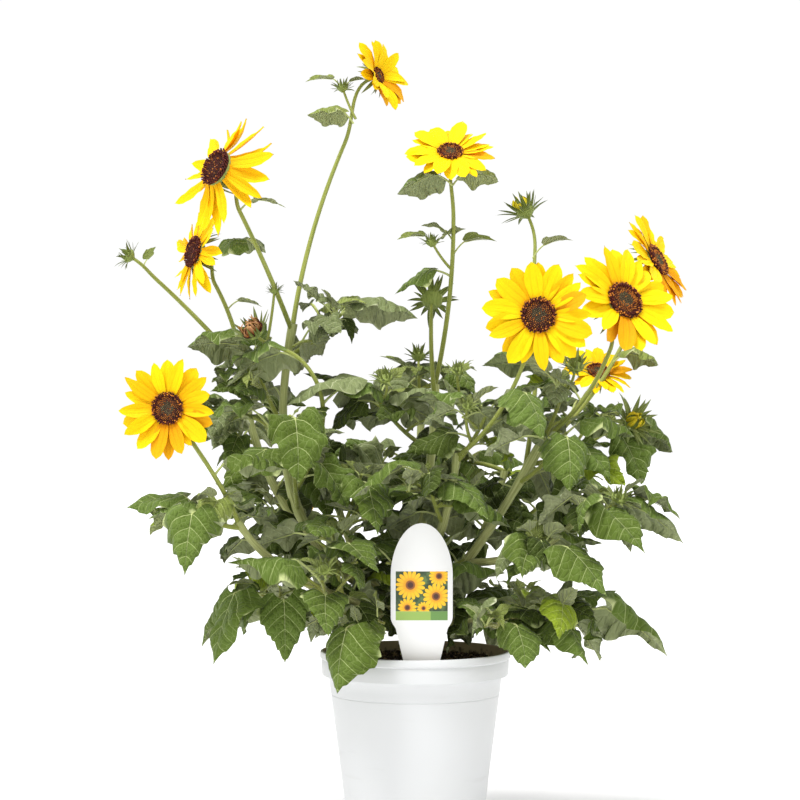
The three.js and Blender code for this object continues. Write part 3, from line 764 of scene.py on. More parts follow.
BOUGHS = (
    Limb("bough_left", "main_stem", 1, (-107, 20, 454), (-44, 4, -42), (4.9, 3.1), (0.5, 0.98)),
    Limb("bough_right", "main_stem", 0.62, (109, -30, 353), (0, -8, -14), (4.7, 3.3), (0.45, 1.0)),
    Limb("bough_centre", "main_stem", 0.97, (18, 42, 401), (6, 8, 0), (4.4, 3.2)),
    Limb("bough_centre_right", "main_stem", 0.9, (35, -50, 342), (8, -16, 0), (4.2, 3)),
    Limb("bough_left_back", "main_stem", 0.86, (-155, 88, 415), (-32, 18, -22), (4.6, 2.8)),
    Limb("bough_far_left", "main_stem", 0.72, (-149, -70, 285), (-18, -14, -8), (4.4, 2.8), (0.35, 0.95)),
    Limb("bough_low_left", "main_stem", 0.45, (-98, -30, 216), (-6, -4, 4), (3.8, 2.6)),
    Limb("bough_front_left", "main_stem", 0.58, (-62, -58, 222), (-6, -8, 2), (3.6, 2.6)),
    Limb("bough_right_low", "bough_right", 0.42, (132, -84, 286), (8, -10, -8), (3.4, 2.6)),
    Limb("bough_low_right", "main_stem", 0.42, (96, -60, 201), (4, -6, 8), (3.8, 2.6)),
    Limb("bough_back_left", "main_stem", 0.66, (-76, 92, 318), (-8, 14, -16), (4.6, 3)),
    Limb("bough_back_right", "main_stem", 0.76, (82, 96, 322), (10, 14, -16), (4.6, 3)),
    Limb("bough_back", "main_stem", 0.82, (6, 108, 366), (0, 22, -20), (4.4, 3)),
)

FLOWER_SHOOTS = (
    FlowerShoot("bloom_top_left", "bough_left", 0.985, (-168, -54, 583), (2, -10, 3), Head.BLOOM, 116,
        (-138, 22), ((0.44, 172, -12, 42), (0.72, 12, -14, 29)), rays=18, lift=-50, gold_and_shade=0.6, disc=0.27,
        ripe=True),
    FlowerShoot("bloom_summit", "bough_left", 1, (-33, 66, 678), (-11, 10, 2), Head.BLOOM, 70, (-34, 16),
        ((0.8, 184, -8, 31),),
        side=SideBud(0.82, (-65, 70, 668), 19, ((0.9, 184, 2, 26), (0.92, 160, 40, 14), (0.95, 8, 14, 17))),
        rays=21, lift=32, gold_and_shade=0.3, disc=0.21),
    FlowerShoot("bloom_left", "bough_left_back", 0.985, (-198, 72, 520), (7, 2, 3), Head.BLOOM, 92,
        (-150, 12), ((0.5, 20, -15, 24),), rays=19, lift=-14, gold_and_shade=0.6, disc=0.3, ripe=True),
    FlowerShoot("bloom_low_left", "bough_far_left", 1, (-204, -106, 380), (10, -10, -8), Head.BLOOM, 84,
        (-100, 3), ((0.5, 10, -10, 44), (0.25, -120, -55, 30)), rays=20, lift=5, shade_turn=-50, gold_and_shade=0.75),
    FlowerShoot("bloom_centre", "bough_centre", 1, (30, -20, 600), (8, -4, 0), Head.BLOOM, 80, (-88, 48),
        ((0.86, 172, -24, 36), (0.86, 8, -12, 30), (0.56, 10, 4, 29), (0.47, 172, -38, 38),
        (0.62, 150, 15, 24)), side=SideBud(0.5, (14, -8, 524), 19, ((0.8, 190, 0, 26), (0.86, 20, 30, 22))),
        rays=20, lift=8, gold_and_shade=0.05, disc=0.27),
    FlowerShoot("bloom_right_front", "bough_centre_right", 0.98, (101, -102, 457), (6, -6, -14), Head.BLOOM,
        92, (-92, 4), ((0.55, -60, -50, 48), (0.3, 20, -30, 44), (0.8, 200, 12, 34)), rays=21, lift=7,
        shade_turn=-25, gold_and_shade=0.35),
    FlowerShoot("bloom_right", "bough_right", 1, (177, -44, 471), (10, 4, -10), Head.BLOOM, 104, (-60, 24),
        ((0.35, 150, 20, 40), (0.6, 170, 30, 30)), rays=20, lift=12, shade_turn=-70, gold_and_shade=0.2, disc=0.31),
    FlowerShoot("bloom_far_right", "bough_right", 0.96, (219, 86, 513), (8, 14, -18), Head.BLOOM, 94,
        (-28, 25), ((0.4, 60, -10, 40), (0.55, -10, -20, 30)), rays=20, lift=4, gold_and_shade=0.6),
    FlowerShoot("bloom_right_rear", "bough_right", 0.9, (163, 48, 412), (6, 10, 0), Head.BLOOM, 66,
        (-74, 50), ((0.5, 70, -20, 46), (0.3, 120, -10, 40))),
    FlowerShoot("bloom_back", "bough_back_right", 1, (26, 152, 300), (-10, 16, 16), Head.BLOOM, 68,
        (84, 46), ((0.5, 20, -25, 46), (0.8, -90, -6, 46), (0.7, -40, -6, 44), (0.7, -140, -6, 44),
        (0.85, -60, -52, 52), (0.6, -80, -60, 48))),
    FlowerShoot("bloom_back_left", "bough_back_left", 1, (-96, 140, 306), (0, 10, 14), Head.BLOOM, 68,
        (122, 44), ((0.5, 190, -20, 48), (0.8, -70, -6, 46), (0.7, -20, -6, 44), (0.7, -120, -6, 44),
        (0.85, -90, -52, 52), (0.6, -70, -60, 48))),
    FlowerShoot("bud_far_left", "bough_left_back", 1, (-256, 60, 516), (-4, 4, 8), Head.BUD, 24, (176, 30),
        ((0.86, 60, 40, 18), (0.8, 10, 20, 24))),
    FlowerShoot("spent_left", "bough_left", 0.55, (-138, -44, 446), (42, -20, 16), Head.SPENT, 28,
        (-125, 42), ((0.45, 20, -20, 50), (0.7, 160, -30, 46))),
    FlowerShoot("bud_centre", "bough_centre", 0.94, (15, 28, 476), (-2, -4, 0), Head.BUD, 36, (86, 26),
        ((0.2, 190, -5, 44),)),
    FlowerShoot("bud_right_high", "bough_right", 0.86, (101, 104, 560), (12, 16, 4), Head.BUD, 35,
        (150, 60), ((0.8, 10, 12, 28),), opening=0.4),
)

LEAFY_SHOOTS = (
    # The upper shoots take the grey tone, partly painted light.
    LeafyShoot("foliage_upper_left", "bough_left", 0.93, (-64, 6, 462), 76, 46,
        ((0.95, -10, -24, 58), (0.8, 60, 20, 42), (0.9, 190, 24, 40)), open_share=0.75, tone=Tone.GREY),
    LeafyShoot("foliage_left_high", "bough_left", 0.76, (-140, -6, 424), 78, 50,
        ((0.9, 176, 4, 54), (0.95, 130, 40, 40))),
    LeafyShoot("foliage_left_shoulder", "bough_left", 0.5, (-106, -58, 374), 88, 62,
        ((0.95, -80, -54, 72), (0.6, -150, -30, 64))),
    LeafyShoot("foliage_left_rear", "bough_left_back", 0.76, (-176, 96, 364), 92, 58,
        ((0.9, 174, -4, 52), (0.95, -120, 10, 54)), open_share=0.4),
    LeafyShoot("foliage_far_left", "bough_far_left", 0.96, (-180, -84, 292), 96, 58,
        ((0.95, -100, -78, 66), (0.9, 176, -10, 56), (0.6, -150, -14, 50))),
    LeafyShoot("foliage_low_left", "bough_low_left", 1, (-134, -32, 222), 92, 62,
        ((0.95, -126, -78, 76), (0.8, 172, -62, 68), (0.5, -80, -74, 64), (0.6, 130, -50, 66))),
    LeafyShoot("foliage_low_left_front", "bough_low_left", 0.62, (-78, -84, 236), 84, 60,
        ((0.95, 184, -14, 68), (0.7, -90, -50, 58))),
    LeafyShoot("foliage_front_left", "bough_front_left", 1, (-70, -66, 274), 86, 56,
        ((0.8, -60, -40, 58),)),
    LeafyShoot("foliage_front_rim", "bough_front_left", 0.5, (-46, -72, 196), 84, 54,
        ((0.95, -112, -74, 68), (0.8, -50, -50, 50))),
    LeafyShoot("foliage_left_inner", "bough_left", 0.3, (-46, -44, 324), 88, 60, ((0.9, -60, -50, 64),),
        open_share=0.4),
    LeafyShoot("foliage_centre_left", "bough_centre", 0.7, (-34, -22, 390), 86, 58,
        ((0.9, -165, -16, 74), (0.7, -40, 0, 56), (0.95, 60, 24, 46)), open_share=0.7, tone=Tone.GREY),
    LeafyShoot("foliage_centre_front", "bough_centre_right", 0.55, (10, -64, 322), 86, 60,
        ((0.95, -150, -30, 62), (0.8, -40, -40, 60), (0.6, 178, -44, 58), (0.6, 4, -44, 58),
        (0.4, 110, -30, 60))),
    LeafyShoot("foliage_centre_right", "bough_centre_right", 0.94, (60, -62, 376), 82, 52,
        ((0.95, -10, 10, 48), (0.8, 190, 0, 50)), open_share=0.75),
    LeafyShoot("foliage_right_top", "bough_right", 0.94, (128, -44, 402), 80, 54,
        ((0.9, 172, 2, 62), (0.85, 20, 4, 46)), open_share=0.75),
    LeafyShoot("foliage_right_mid", "bough_right", 0.82, (126, -74, 360), 82, 60,
        ((0.9, -84, -62, 60), (0.95, 10, -20, 52)), open_share=0.5),
    LeafyShoot("foliage_right_edge", "bough_right", 0.9, (174, 4, 366), 84, 52,
        ((0.9, -20, -36, 52), (0.8, -50, -64, 60)), open_share=0.65),
    LeafyShoot("foliage_right_low", "bough_right_low", 1, (162, -98, 300), 92, 56,
        ((0.9, -4, -26, 52), (0.4, -12, -30, 72), (0.3, -60, -40, 68)), open_share=0.3),
    LeafyShoot("foliage_right_low_front", "bough_right_low", 0.6, (104, -92, 262), 86, 62,
        ((0.9, -50, -46, 68), (0.6, -110, -40, 58))),
    LeafyShoot("foliage_low_right", "bough_low_right", 1, (130, -66, 204), 92, 58,
        ((0.9, -20, -38, 78), (0.5, 20, 6, 54), (0.6, -70, -50, 58))),
    LeafyShoot("foliage_low_right_front", "bough_low_right", 0.56, (76, -84, 200), 78, 52,
        ((0.95, -70, -60, 50), (0.8, 0, -40, 50))),
    LeafyShoot("foliage_front_centre", "main_stem", 0.7, (12, -52, 256), 86, 58,
        ((0.7, -20, -24, 58), (0.9, 200, -30, 58))),
    LeafyShoot("foliage_back_left", "bough_back_left", 0.6, (-134, 112, 300), 96, 64,
        ((0.9, 150, -30, 64), (0.5, 110, -50, 60))),
    LeafyShoot("foliage_back", "bough_back", 0.72, (-34, 152, 330), 96, 64,
        ((0.9, 100, -50, 64), (0.6, 60, -40, 60)), open_share=0.4),
    LeafyShoot("foliage_back_top", "bough_back", 1, (4, 122, 412), 84, 54, ((0.9, 90, -20, 54),),
        open_share=0.7),
    LeafyShoot("foliage_back_right", "bough_back_right", 0.62, (138, 112, 312), 96, 64,
        ((0.9, 40, -30, 64), (0.5, 80, -50, 60))),
    LeafyShoot("foliage_back_low_left", "main_stem", 0.4, (-66, 92, 212), 96, 64,
        ((0.95, 130, -64, 64), (0.8, 90, -60, 60))),
    LeafyShoot("foliage_back_low_right", "main_stem", 0.36, (84, 84, 212), 96, 64,
        ((0.95, 40, -64, 64), (0.8, 80, -60, 60))),
)

BUD_STALKS = (
    BudStalk("foliage_right_top", 0.9, (134, -68, 416), (-80, 60), 27),
    BudStalk("foliage_right_edge", 0.95, (186, -24, 368), (-68, 20), 33, 0.7),
    BudStalk("foliage_right_low", 0.95, (167, -108, 307), (-60, 60), 26),
    BudStalk("foliage_centre_left", 0.95, (-26, -40, 406), (-120, 65), 25),
    BudStalk("foliage_centre_right", 0.7, (35, -62, 412), (-90, 60), 20),
    BudStalk("foliage_centre_right", 0.5, (43, -80, 382), (-80, 50), 17),
    BudStalk("foliage_left_high", 0.8, (-122, -4, 482), (80, 70), 15),
    BudStalk("foliage_front_left", 0.8, (-76, -104, 248), (-100, 50), 22),
    BudStalk("foliage_back_top", 0.95, (4, 132, 428), (90, 60), 24),
)

# Shoots, and the shares of their stems, that no small leaf hangs in front of.
CLEAR_STALKS = (
    ("bloom_right_front", (0.05, 0.85)), ("bloom_centre", (0.0, 0.5)), ("bud_centre", (0.0, 0.6)),
    ("bloom_right", (0.0, 0.8)), ("bloom_top_left", (0.0, 0.4)), ("bloom_summit", (0.0, 0.2)),
)


# ------------------------------------------------------------------ the growth rule


@dataclass(frozen=True)
class Leaf:
    """One leaf as the rule gives it: its root in a stem, its directions and its blade's length."""

    root: Array
    heading: float
    fall: float
    droop: float
    roll: float
    length: float
    tone: Tone
    form: int = 0
    stray: float = 1.0

    STALK_SHARE = 0.55
    TURNS = (0, 32, -32, 64, -64, 96, -96)

    @property
    def base(self) -> Array:
        """Returns where the blade starts, at the end of the leaf's stalk."""
        rise = min(50.0, max(5.0, self.fall + 55))
        return self.root + direction(self.heading, rise) * self.length * self.STALK_SHARE

    @property
    def tip(self) -> Array:
        """Returns about where the blade ends."""
        return self.base + direction(self.heading, self.fall) * self.length

    def seat(self) -> Seat:
        """Returns how the blade sits and bends, each leaf in its own way."""
        draw = Seeds(int(self.length * 997) % 9973)
        pitch = self.fall + 14 + draw.around(26) * self.stray
        return Seat(
            origin=self.base, ahead=direction(self.heading, 0), above=UPRIGHT, length=self.length,
            pitch=pitch, bend=1.4 * self.droop - 8 + draw.around(26) * self.stray,
            roll=self.roll + draw.around(38) * self.stray, twist=draw.around(34), sway=draw.around(28),
        )


class Crowd:
    """Remembers the blades that are placed, and tells whether a new one is clear of them all.

    No blade comes into the gap in front of the label or of a bough's bare stretch.
    """

    gap = (np.array((-24.0, -170.0, 166.0)), np.array((34.0, -60.0, 292.0)))
    bare_width = 11.0

    def __init__(self, fixed: Sequence[BVHTree], bare: Sequence[Array]) -> None:
        """Starts the crowd.

        Args:
            fixed: Shapes that stand in the plant from the start.
            bare: Points that no blade hangs in front of.
        """
        self.fixed = fixed
        self.bare = np.array(bare)
        self.kept: list[tuple[Array, float, BVHTree]] = []
        self.probe = Blade(columns=2, rows=4, teeth=0).mould()
        ends = [*self.probe.starts[1:], len(self.probe.loops)]
        self.faces = [self.probe.loops[a:b].tolist() for a, b in zip(self.probe.starts, ends)]

    def in_gap(self, verts: Array) -> bool:
        """Returns whether a blade comes in front of the label or of a bare stretch of a bough.

        Args:
            verts: The blade's vertices.

        Returns:
            Whether it does.
        """
        if np.any(np.all((verts > self.gap[0]) & (verts < self.gap[1]), axis=1)):
            return True
        aside = self.bare[:, None, :] - verts[None]
        near = np.hypot(aside[..., 0], aside[..., 2]) < self.bare_width
        return bool(np.any(near & (aside[..., 1] > 0)))

    def seat(self, leaf: Leaf) -> Leaf | None:
        """Finds room for a leaf by turning it, and keeps that room.

        Args:
            leaf: The leaf as the rule gives it.

        Returns:
            The leaf as it can stand, or None where there is no room.
        """
        for turn in Leaf.TURNS:
            turned = replace(leaf, heading=leaf.heading + turn * leaf.stray)
            verts = turned.seat().lay(self.probe.verts)
            tree = BVHTree.FromPolygons(verts.tolist(), self.faces)
            middle = verts.mean(axis=0)
            reach = float(np.linalg.norm(verts - middle, axis=1).max())
            if self.in_gap(verts) or any(other.overlap(tree) for other in self.fixed):
                continue
            if self.kept:
                middles, reaches, trees = zip(*self.kept)
                gaps = np.linalg.norm(np.array(middles) - middle, axis=1) - reaches
                if any(trees[i].overlap(tree) for i in np.nonzero(gaps < reach)[0]):
                    continue
            self.kept.append((middle, reach, tree))
            return turned
        return None


@dataclass(frozen=True)
class Stem:
    """A stem to be skinned: its middle line and the radius at each end."""

    line: Array
    radii: Span


@dataclass
class Growth:
    """The whole plant as middle lines, heads and leaves, grown by its seeded rule."""

    twigs: int = 2
    marked_size: float = 0.84
    bough_leaves: int = 6
    neck: float = 0.72
    lines: dict[str, Bend] = field(default_factory=dict)
    stalks: list[Stem] = field(default_factory=list)
    leaves: list[Leaf] = field(default_factory=list)
    young: list[Leaf] = field(default_factory=list)
    buds: list[tuple[Array, Array, float, float]] = field(default_factory=list)
    blooms: list[tuple[FlowerShoot, Array, Array]] = field(default_factory=list)

    def grow(self) -> None:
        """Grows stems first, then each shoot's leaves, in the order of the tables."""
        self.lines["main_stem"] = Bend.between(MAIN_FOOT, MAIN_STEM.tip, MAIN_STEM.bow)
        for limb in (*BOUGHS, *FLOWER_SHOOTS):
            start = self.lines[limb.on].point(limb.at)
            self.lines[limb.name] = Bend.between(start, limb.tip, limb.bow)
            if isinstance(limb, FlowerShoot):
                self.set_head(limb)
        for shoot in LEAFY_SHOOTS:
            self.stretch(shoot)
        for index, stalk in enumerate(BUD_STALKS):
            self.set_bud(stalk, index)
        self.crowd = Crowd(self.solids() + self.heads(), [stalk.tip for stalk in BUD_STALKS] + self.faces())
        for index, shoot in enumerate(FLOWER_SHOOTS):
            self.leaf_stalk(shoot, Seeds(index + 101))
        for index, shoot in enumerate(LEAFY_SHOOTS):
            draw = Seeds(index + 501)
            for number, mark in enumerate(shoot.marked):
                mark = (*mark[:3], mark[3] * self.marked_size)
                self.keep(self.leaf_at(self.lines[shoot.name], mark, shoot.tone, draw, number + index))
        bare = [(bough.name, bough.bare) for bough in BOUGHS if bough.bare[1]]
        stretches = [self.lines[name].point(np.linspace(*span, 14)) for name, span in (*bare, *CLEAR_STALKS)]
        self.crowd.bare = np.vstack([self.crowd.bare, *stretches])
        for index, stalk in enumerate(BUD_STALKS):
            self.crown_tip(self.lines[f"bud_stalk_{index}"], Seeds(index + 601), 0.8)
        for index, shoot in enumerate(LEAFY_SHOOTS):
            self.leaf_shoot(shoot, Seeds(index + 201), index)
        for index, shoot in enumerate(LEAFY_SHOOTS):
            self.fill_shoot(shoot, Seeds(index + 401))
        for index, bough in enumerate(BOUGHS):
            self.line_bough(bough, Seeds(index + 701))
        log.info("grown: %d leaves, %d young leaves, %d stalks, %d blooms, %d buds", len(self.leaves),
                 len(self.young), len(self.stalks), len(self.blooms), len(self.buds))

    @staticmethod
    def solids() -> list[BVHTree]:
        """Returns the search trees of the solids that no leaf may cross."""
        trees = []
        for name in ("pot", "plant_label", "potting_mix", "main_stem", *(bough.name for bough in BOUGHS)):
            mesh = bpy.data.objects[name].data
            verts = [vert.co / MM for vert in mesh.vertices]
            trees.append(BVHTree.FromPolygons(verts, [polygon.vertices[:] for polygon in mesh.polygons]))
        return trees

    def heads(self) -> list[BVHTree]:
        """Returns the search trees of flat shapes that stand for the blooms."""
        trees = []
        for shoot, middle, facing in self.blooms:
            right, up = axes(-facing)
            turns = np.linspace(0, math.tau, 12, endpoint=False)
            ring = [middle + 0.43 * shoot.size * (math.cos(t) * right + math.sin(t) * up) for t in turns]
            verts = [middle + facing * 6, middle - facing * 6, *ring]
            faces = [(end, 2 + i, 2 + (i + 1) % 12) for i in range(12) for end in (0, 1)]
            trees.append(BVHTree.FromPolygons([vert.tolist() for vert in verts], faces))
        return trees

    def faces(self) -> list[Array]:
        """Returns points over the blooms that face the label's side, where no leaf hangs in front."""
        points = []
        for shoot, middle, facing in self.blooms:
            if facing[1] <= 0:
                right, up = axes(-facing)
                points += [middle + 0.28 * shoot.size * (a * right + b * up)
                           for a, b in ((0, 0), (1, 0), (-1, 0), (0, 1), (0, -1))]
        return points

    def set_head(self, shoot: FlowerShoot) -> None:
        """Sets a flower shoot's head and its stalk, which bends to meet the head's back.

        Args:
            shoot: The flower shoot.
        """
        facing = direction(*shoot.face)
        tip = np.array(shoot.tip, dtype=float)
        if shoot.head is Head.BUD:
            self.buds.append((tip, facing, shoot.size, shoot.opening))
        else:
            self.blooms.append((shoot, tip, facing))
        line = self.lines[shoot.name]
        end = tip - facing * 0.11 * shoot.size
        neck = line.point(self.neck)
        gap = float(np.linalg.norm(end - neck))
        on = neck + unit(neck - line.point(self.neck - 0.02)) * 0.4 * gap
        share = np.linspace(0, 1, 14)[1:, None]
        turn = ((1 - share) ** 3 * neck + 3 * share * (1 - share) ** 2 * on
                + 3 * share**2 * (1 - share) * (end - facing * 0.42 * gap) + share**3 * end)
        low = line.point(np.linspace(0, self.neck, 18))
        self.stalks.append(Stem(np.vstack([low, turn]), (2.2, 1.4)))
        if shoot.side:
            bud = shoot.side
            side = Bend.between(line.point(bud.at), bud.tip, (0, 0, -2))
            self.lines[shoot.name + "_side"] = side
            self.stalks.append(Stem(side.points(8), (1.3, 1.0)))
            self.buds.append((np.array(bud.tip, dtype=float), direction(90, 80), bud.size, 0))

    def set_bud(self, stalk: BudStalk, index: int) -> None:
        """Sets a bud and the short stalk that carries it.

        Args:
            stalk: The bud's stalk.
            index: Its number.
        """
        facing = direction(*stalk.face)
        tip = np.array(stalk.tip, dtype=float)
        end = tip - facing * 0.2 * stalk.size
        start = self.lines[stalk.on].point(stalk.at)
        line = Bend(start, end - facing * 0.5 * float(np.linalg.norm(end - start)), end)
        self.lines[f"bud_stalk_{index}"] = line
        self.stalks.append(Stem(line.points(10), (1.5, 1.1)))
        self.buds.append((tip, facing, stalk.size, stalk.opening))

    def stretch(self, shoot: LeafyShoot) -> None:
        """Grows a leafy shoot's own stem, which sags a little.

        Args:
            shoot: The leafy shoot.
        """
        start = self.lines[shoot.on].point(shoot.at)
        sag = 0.08 * float(np.linalg.norm(np.array(shoot.tip, dtype=float) - start))
        self.lines[shoot.name] = Bend.between(start, shoot.tip, (0, 0, -sag))
        self.stalks.append(Stem(self.lines[shoot.name].points(12), (2.3, 1.4)))

    @staticmethod
    def leaf_at(line: Bend, mark: Mark, tone: Tone, draw: Seeds, form: int) -> Leaf:
        """Makes a leaf from its mark.

        Args:
            line: The stem that it grows on.
            mark: Its place on the stem, its heading, pitch and length.
            tone: Its colour.
            draw: Source of the draws.
            form: Number of its blade.

        Returns:
            The leaf.
        """
        place, heading, fall, length = mark
        droop = -18 * draw() - 6
        return Leaf(line.point(place), heading, fall, droop, (draw() - 0.5) * 36, length, tone, form, 0.4)

    def leaf_stalk(self, shoot: FlowerShoot, draw: Seeds) -> None:
        """Puts the few leaves on a flower shoot and on its side bud's stalk."""
        for name, owner in ((shoot.name, shoot), (shoot.name + "_side", shoot.side)):
            for number, mark in enumerate(owner.leaves if owner else ()):
                tone = Tone.YOUNG if mark[3] < 32 else Tone.MID
                self.keep(self.leaf_at(self.lines[name], mark, tone, draw, number))

    def keep(self, leaf: Leaf) -> None:
        """Keeps a leaf where there is room for it."""
        seated = self.crowd.seat(leaf)
        if seated:
            (self.young if leaf.length < YOUNG_LENGTH else self.leaves).append(seated)

    def twig_lines(self, shoot: LeafyShoot, draw: Seeds, reach: float = 1.0) -> Iterator[Bend]:
        """Yields side twigs, left and right of a shoot's stem, that end within a share of its reach."""
        line = self.lines[shoot.name]
        outward = heading_of(line.point(1.0))
        twigs = []
        for i in range(self.twigs):
            start = line.point(0.35 + 0.5 * (i + 0.5) / self.twigs)
            heading = outward + (1 if i % 2 == 0 else -1) * draw.within(55, 35)
            pitch = draw.within(-10, 50)
            length = min(0.62 * line.length(), 0.55 * shoot.reach) * draw.within(0.8, 0.3)
            tip = start + direction(heading, pitch) * length
            twigs.append(Bend.between(start, tip, (0, 0, 0.06 * length)))
        for twig in twigs:
            if np.linalg.norm(twig.point(1.0) - line.point(0.75)) <= reach * shoot.reach:
                yield twig

    def spiral(self, shoot: LeafyShoot, line: Bend, count: int, first: float, size: float,
               draw: Seeds) -> list[Leaf]:
        """Returns leaves that spiral round a stem and lean to the outside of the crown.

        Args:
            shoot: The shoot that the stem belongs to.
            line: The stem.
            count: How many leaves.
            first: Share of the stem below the first one.
            size: Length of a leaf over the shoot's leaf length.
            draw: Source of the draws.

        Returns:
            The leaves.
        """
        outward = heading_of(line.point(1.0))
        phase = 360 * draw()
        leaves = []
        for i in range(count):
            place = first + (0.96 - first) * (i + 0.6) / count
            turn = (phase + i * GOLDEN_TURN) % 360 - 180
            heading = outward + turn * 0.72 + 16 * (draw() - 0.5)
            fall = draw.within(-8, -44)
            length = shoot.leaf * size * (1.0 - 0.3 * place) * draw.within(0.7, 0.3)
            leaf = self.leaf_at(line, (place, heading, fall, length), shoot.tone, draw, i + 2)
            leaves.append(replace(leaf, stray=1.0, tone=self.deal_tone(leaf)))
        return leaves

    @staticmethod
    def deal_tone(leaf: Leaf) -> Tone:
        """Returns a leaf's tone: its shoot's own, or one dealt at random and by its place, with painted
        shade near the middle and low down, the grey tone with painted light higher and further out, and
        painted sunlight more often low on the left.

        Args:
            leaf: The leaf.

        Returns:
            The tone.
        """
        chance = Seeds(int(leaf.length * 1009) % 9931)()
        x, y, z = leaf.root
        # Painted shade for leaves near the middle or low down, the grey tone with painted light for the
        # rest.
        if chance < 0.3:
            return Tone.DARK if math.hypot(x, y) < 110 or z < 300 else Tone.GREY
        if chance < 0.42:
            return Tone.GREY
        # Painted sunlight and backlight, more often for leaves low on the left.
        return Tone.SUNLIT if chance < 0.5 or (x < -90 and z < 260 and chance < 0.75) else leaf.tone

    def leaf_shoot(self, shoot: LeafyShoot, draw: Seeds, index: int) -> None:
        """Puts the main twigs and leaves on a leafy shoot.

        Args:
            shoot: The leafy shoot.
            draw: Source of the draws.
            index: Its number.
        """
        line = self.lines[shoot.name]
        leaves = []
        for twig in self.twig_lines(shoot, draw):
            self.stalks.append(Stem(twig.points(6), (1.6, 1.1)))
            leaves += self.spiral(shoot, twig, 2, 0.4, 1.0, draw)
        leaves += self.spiral(shoot, line, 4, 0.3, 1.0, draw)
        for leaf in leaves:
            if np.linalg.norm(leaf.tip - line.point(0.75)) < shoot.reach:
                self.keep(leaf)
        self.crown_tip(line, Seeds(index + 301))

    def fill_shoot(self, shoot: LeafyShoot, draw: Seeds) -> None:
        """Carries a leafy shoot on to finer twigs with smaller leaves, within the same reach.

        Args:
            shoot: The leafy shoot.
            draw: Source of the draws.
        """
        line = self.lines[shoot.name]
        leaves = self.spiral(shoot, line, 4, 0.1, 0.8, draw)
        for twig in self.twig_lines(shoot, draw, 0.9):
            if draw() < shoot.open_share:
                continue
            self.stalks.append(Stem(twig.points(6), (1.3, 0.8)))
            leaves += self.spiral(shoot, twig, 3, 0.3, 0.66, draw)
            self.crown_tip(twig, draw)
        for leaf in leaves:
            near = np.linalg.norm(leaf.tip - line.point(0.75)) < shoot.reach
            if near and draw() >= shoot.open_share:
                self.keep(leaf)

    def line_bough(self, bough: Limb, draw: Seeds) -> None:
        """Puts leaves on long stalks along a bough, inside the crown, in the darkest tone as painted shade.
        """
        for i in range(self.bough_leaves):
            place = 0.2 + 0.75 * (i + draw()) / self.bough_leaves
            heading = i * GOLDEN_TURN + draw.around(40)
            mark = (place, heading, draw.within(25, -70), draw.within(30, 22))
            self.keep(replace(self.leaf_at(self.lines[bough.name], mark, Tone.DARK, draw, i), stray=1.0))

    def crown_tip(self, line: Bend, draw: Seeds, size: float = 1.0) -> None:
        """Puts a tuft of young leaves round a stem's tip."""
        heading = heading_of(unit(line.point(1.0) - line.point(0.9)))
        for i in range(5):
            turn = heading + i * GOLDEN_TURN + draw.around(15)
            rise = 15 + 9 * i + draw.around(8)
            length = (27 - 3.4 * i) * draw.within(0.85, 0.3) * size
            root = line.point(0.99 - 0.02 * (5 - i))
            self.keep(Leaf(root, turn, rise, -14 - 30 * draw(), draw.around(20), length,
                           Tone.YOUNG, i))


# ------------------------------------------------------------------ shader expressions


class Wire:
    """A number that flows between shader nodes. Arithmetic on it adds Math nodes."""

    def __init__(self, graph: Graph, socket: bpy.types.NodeSocket) -> None:
        """Wraps an output of a material's nodes."""
        self.graph = graph
        self.socket = socket

    def then(self, operation: str, *others: Wire | float) -> Wire:
        """Returns the result of a Math node that takes this number first."""
        return self.graph.math(operation, self, *others)

    def __rsub__(self, other: float) -> Wire:
        """Returns a number less this one."""
        return self.graph.math("SUBTRACT", other, self)

    __add__ = __radd__ = partialmethod(then, "ADD")
    __sub__ = partialmethod(then, "SUBTRACT")
    __mul__ = __rmul__ = partialmethod(then, "MULTIPLY")
    __truediv__ = partialmethod(then, "DIVIDE")
    __pow__ = partialmethod(then, "POWER")
    __abs__ = partialmethod(then, "ABSOLUTE")
    wave = partialmethod(then, "SINE")
    fraction = partialmethod(then, "FRACT")
    most = partialmethod(then, "MAXIMUM")

    def step(self, low: float, high: float) -> Wire:
        """Returns a smooth step from 0 at one value to 1 at another, which may be the smaller.

        Args:
            low: Value at which the step is 0.
            high: Value at which it is 1.

        Returns:
            The step.
        """
        flip = float(low >= high)
        sockets = {0: self, 1: min(low, high), 2: max(low, high), 3: flip, 4: 1 - flip}
        return self.graph.wire("ShaderNodeMapRange", sockets, interpolation_type="SMOOTHSTEP")

    def band(self, low: float, high: float, soft: float) -> Wire:
        """Returns 1 from one value to another and 0 outside them, with soft ends."""
        return self.step(low - soft, low + soft) * self.step(high + soft, high - soft)


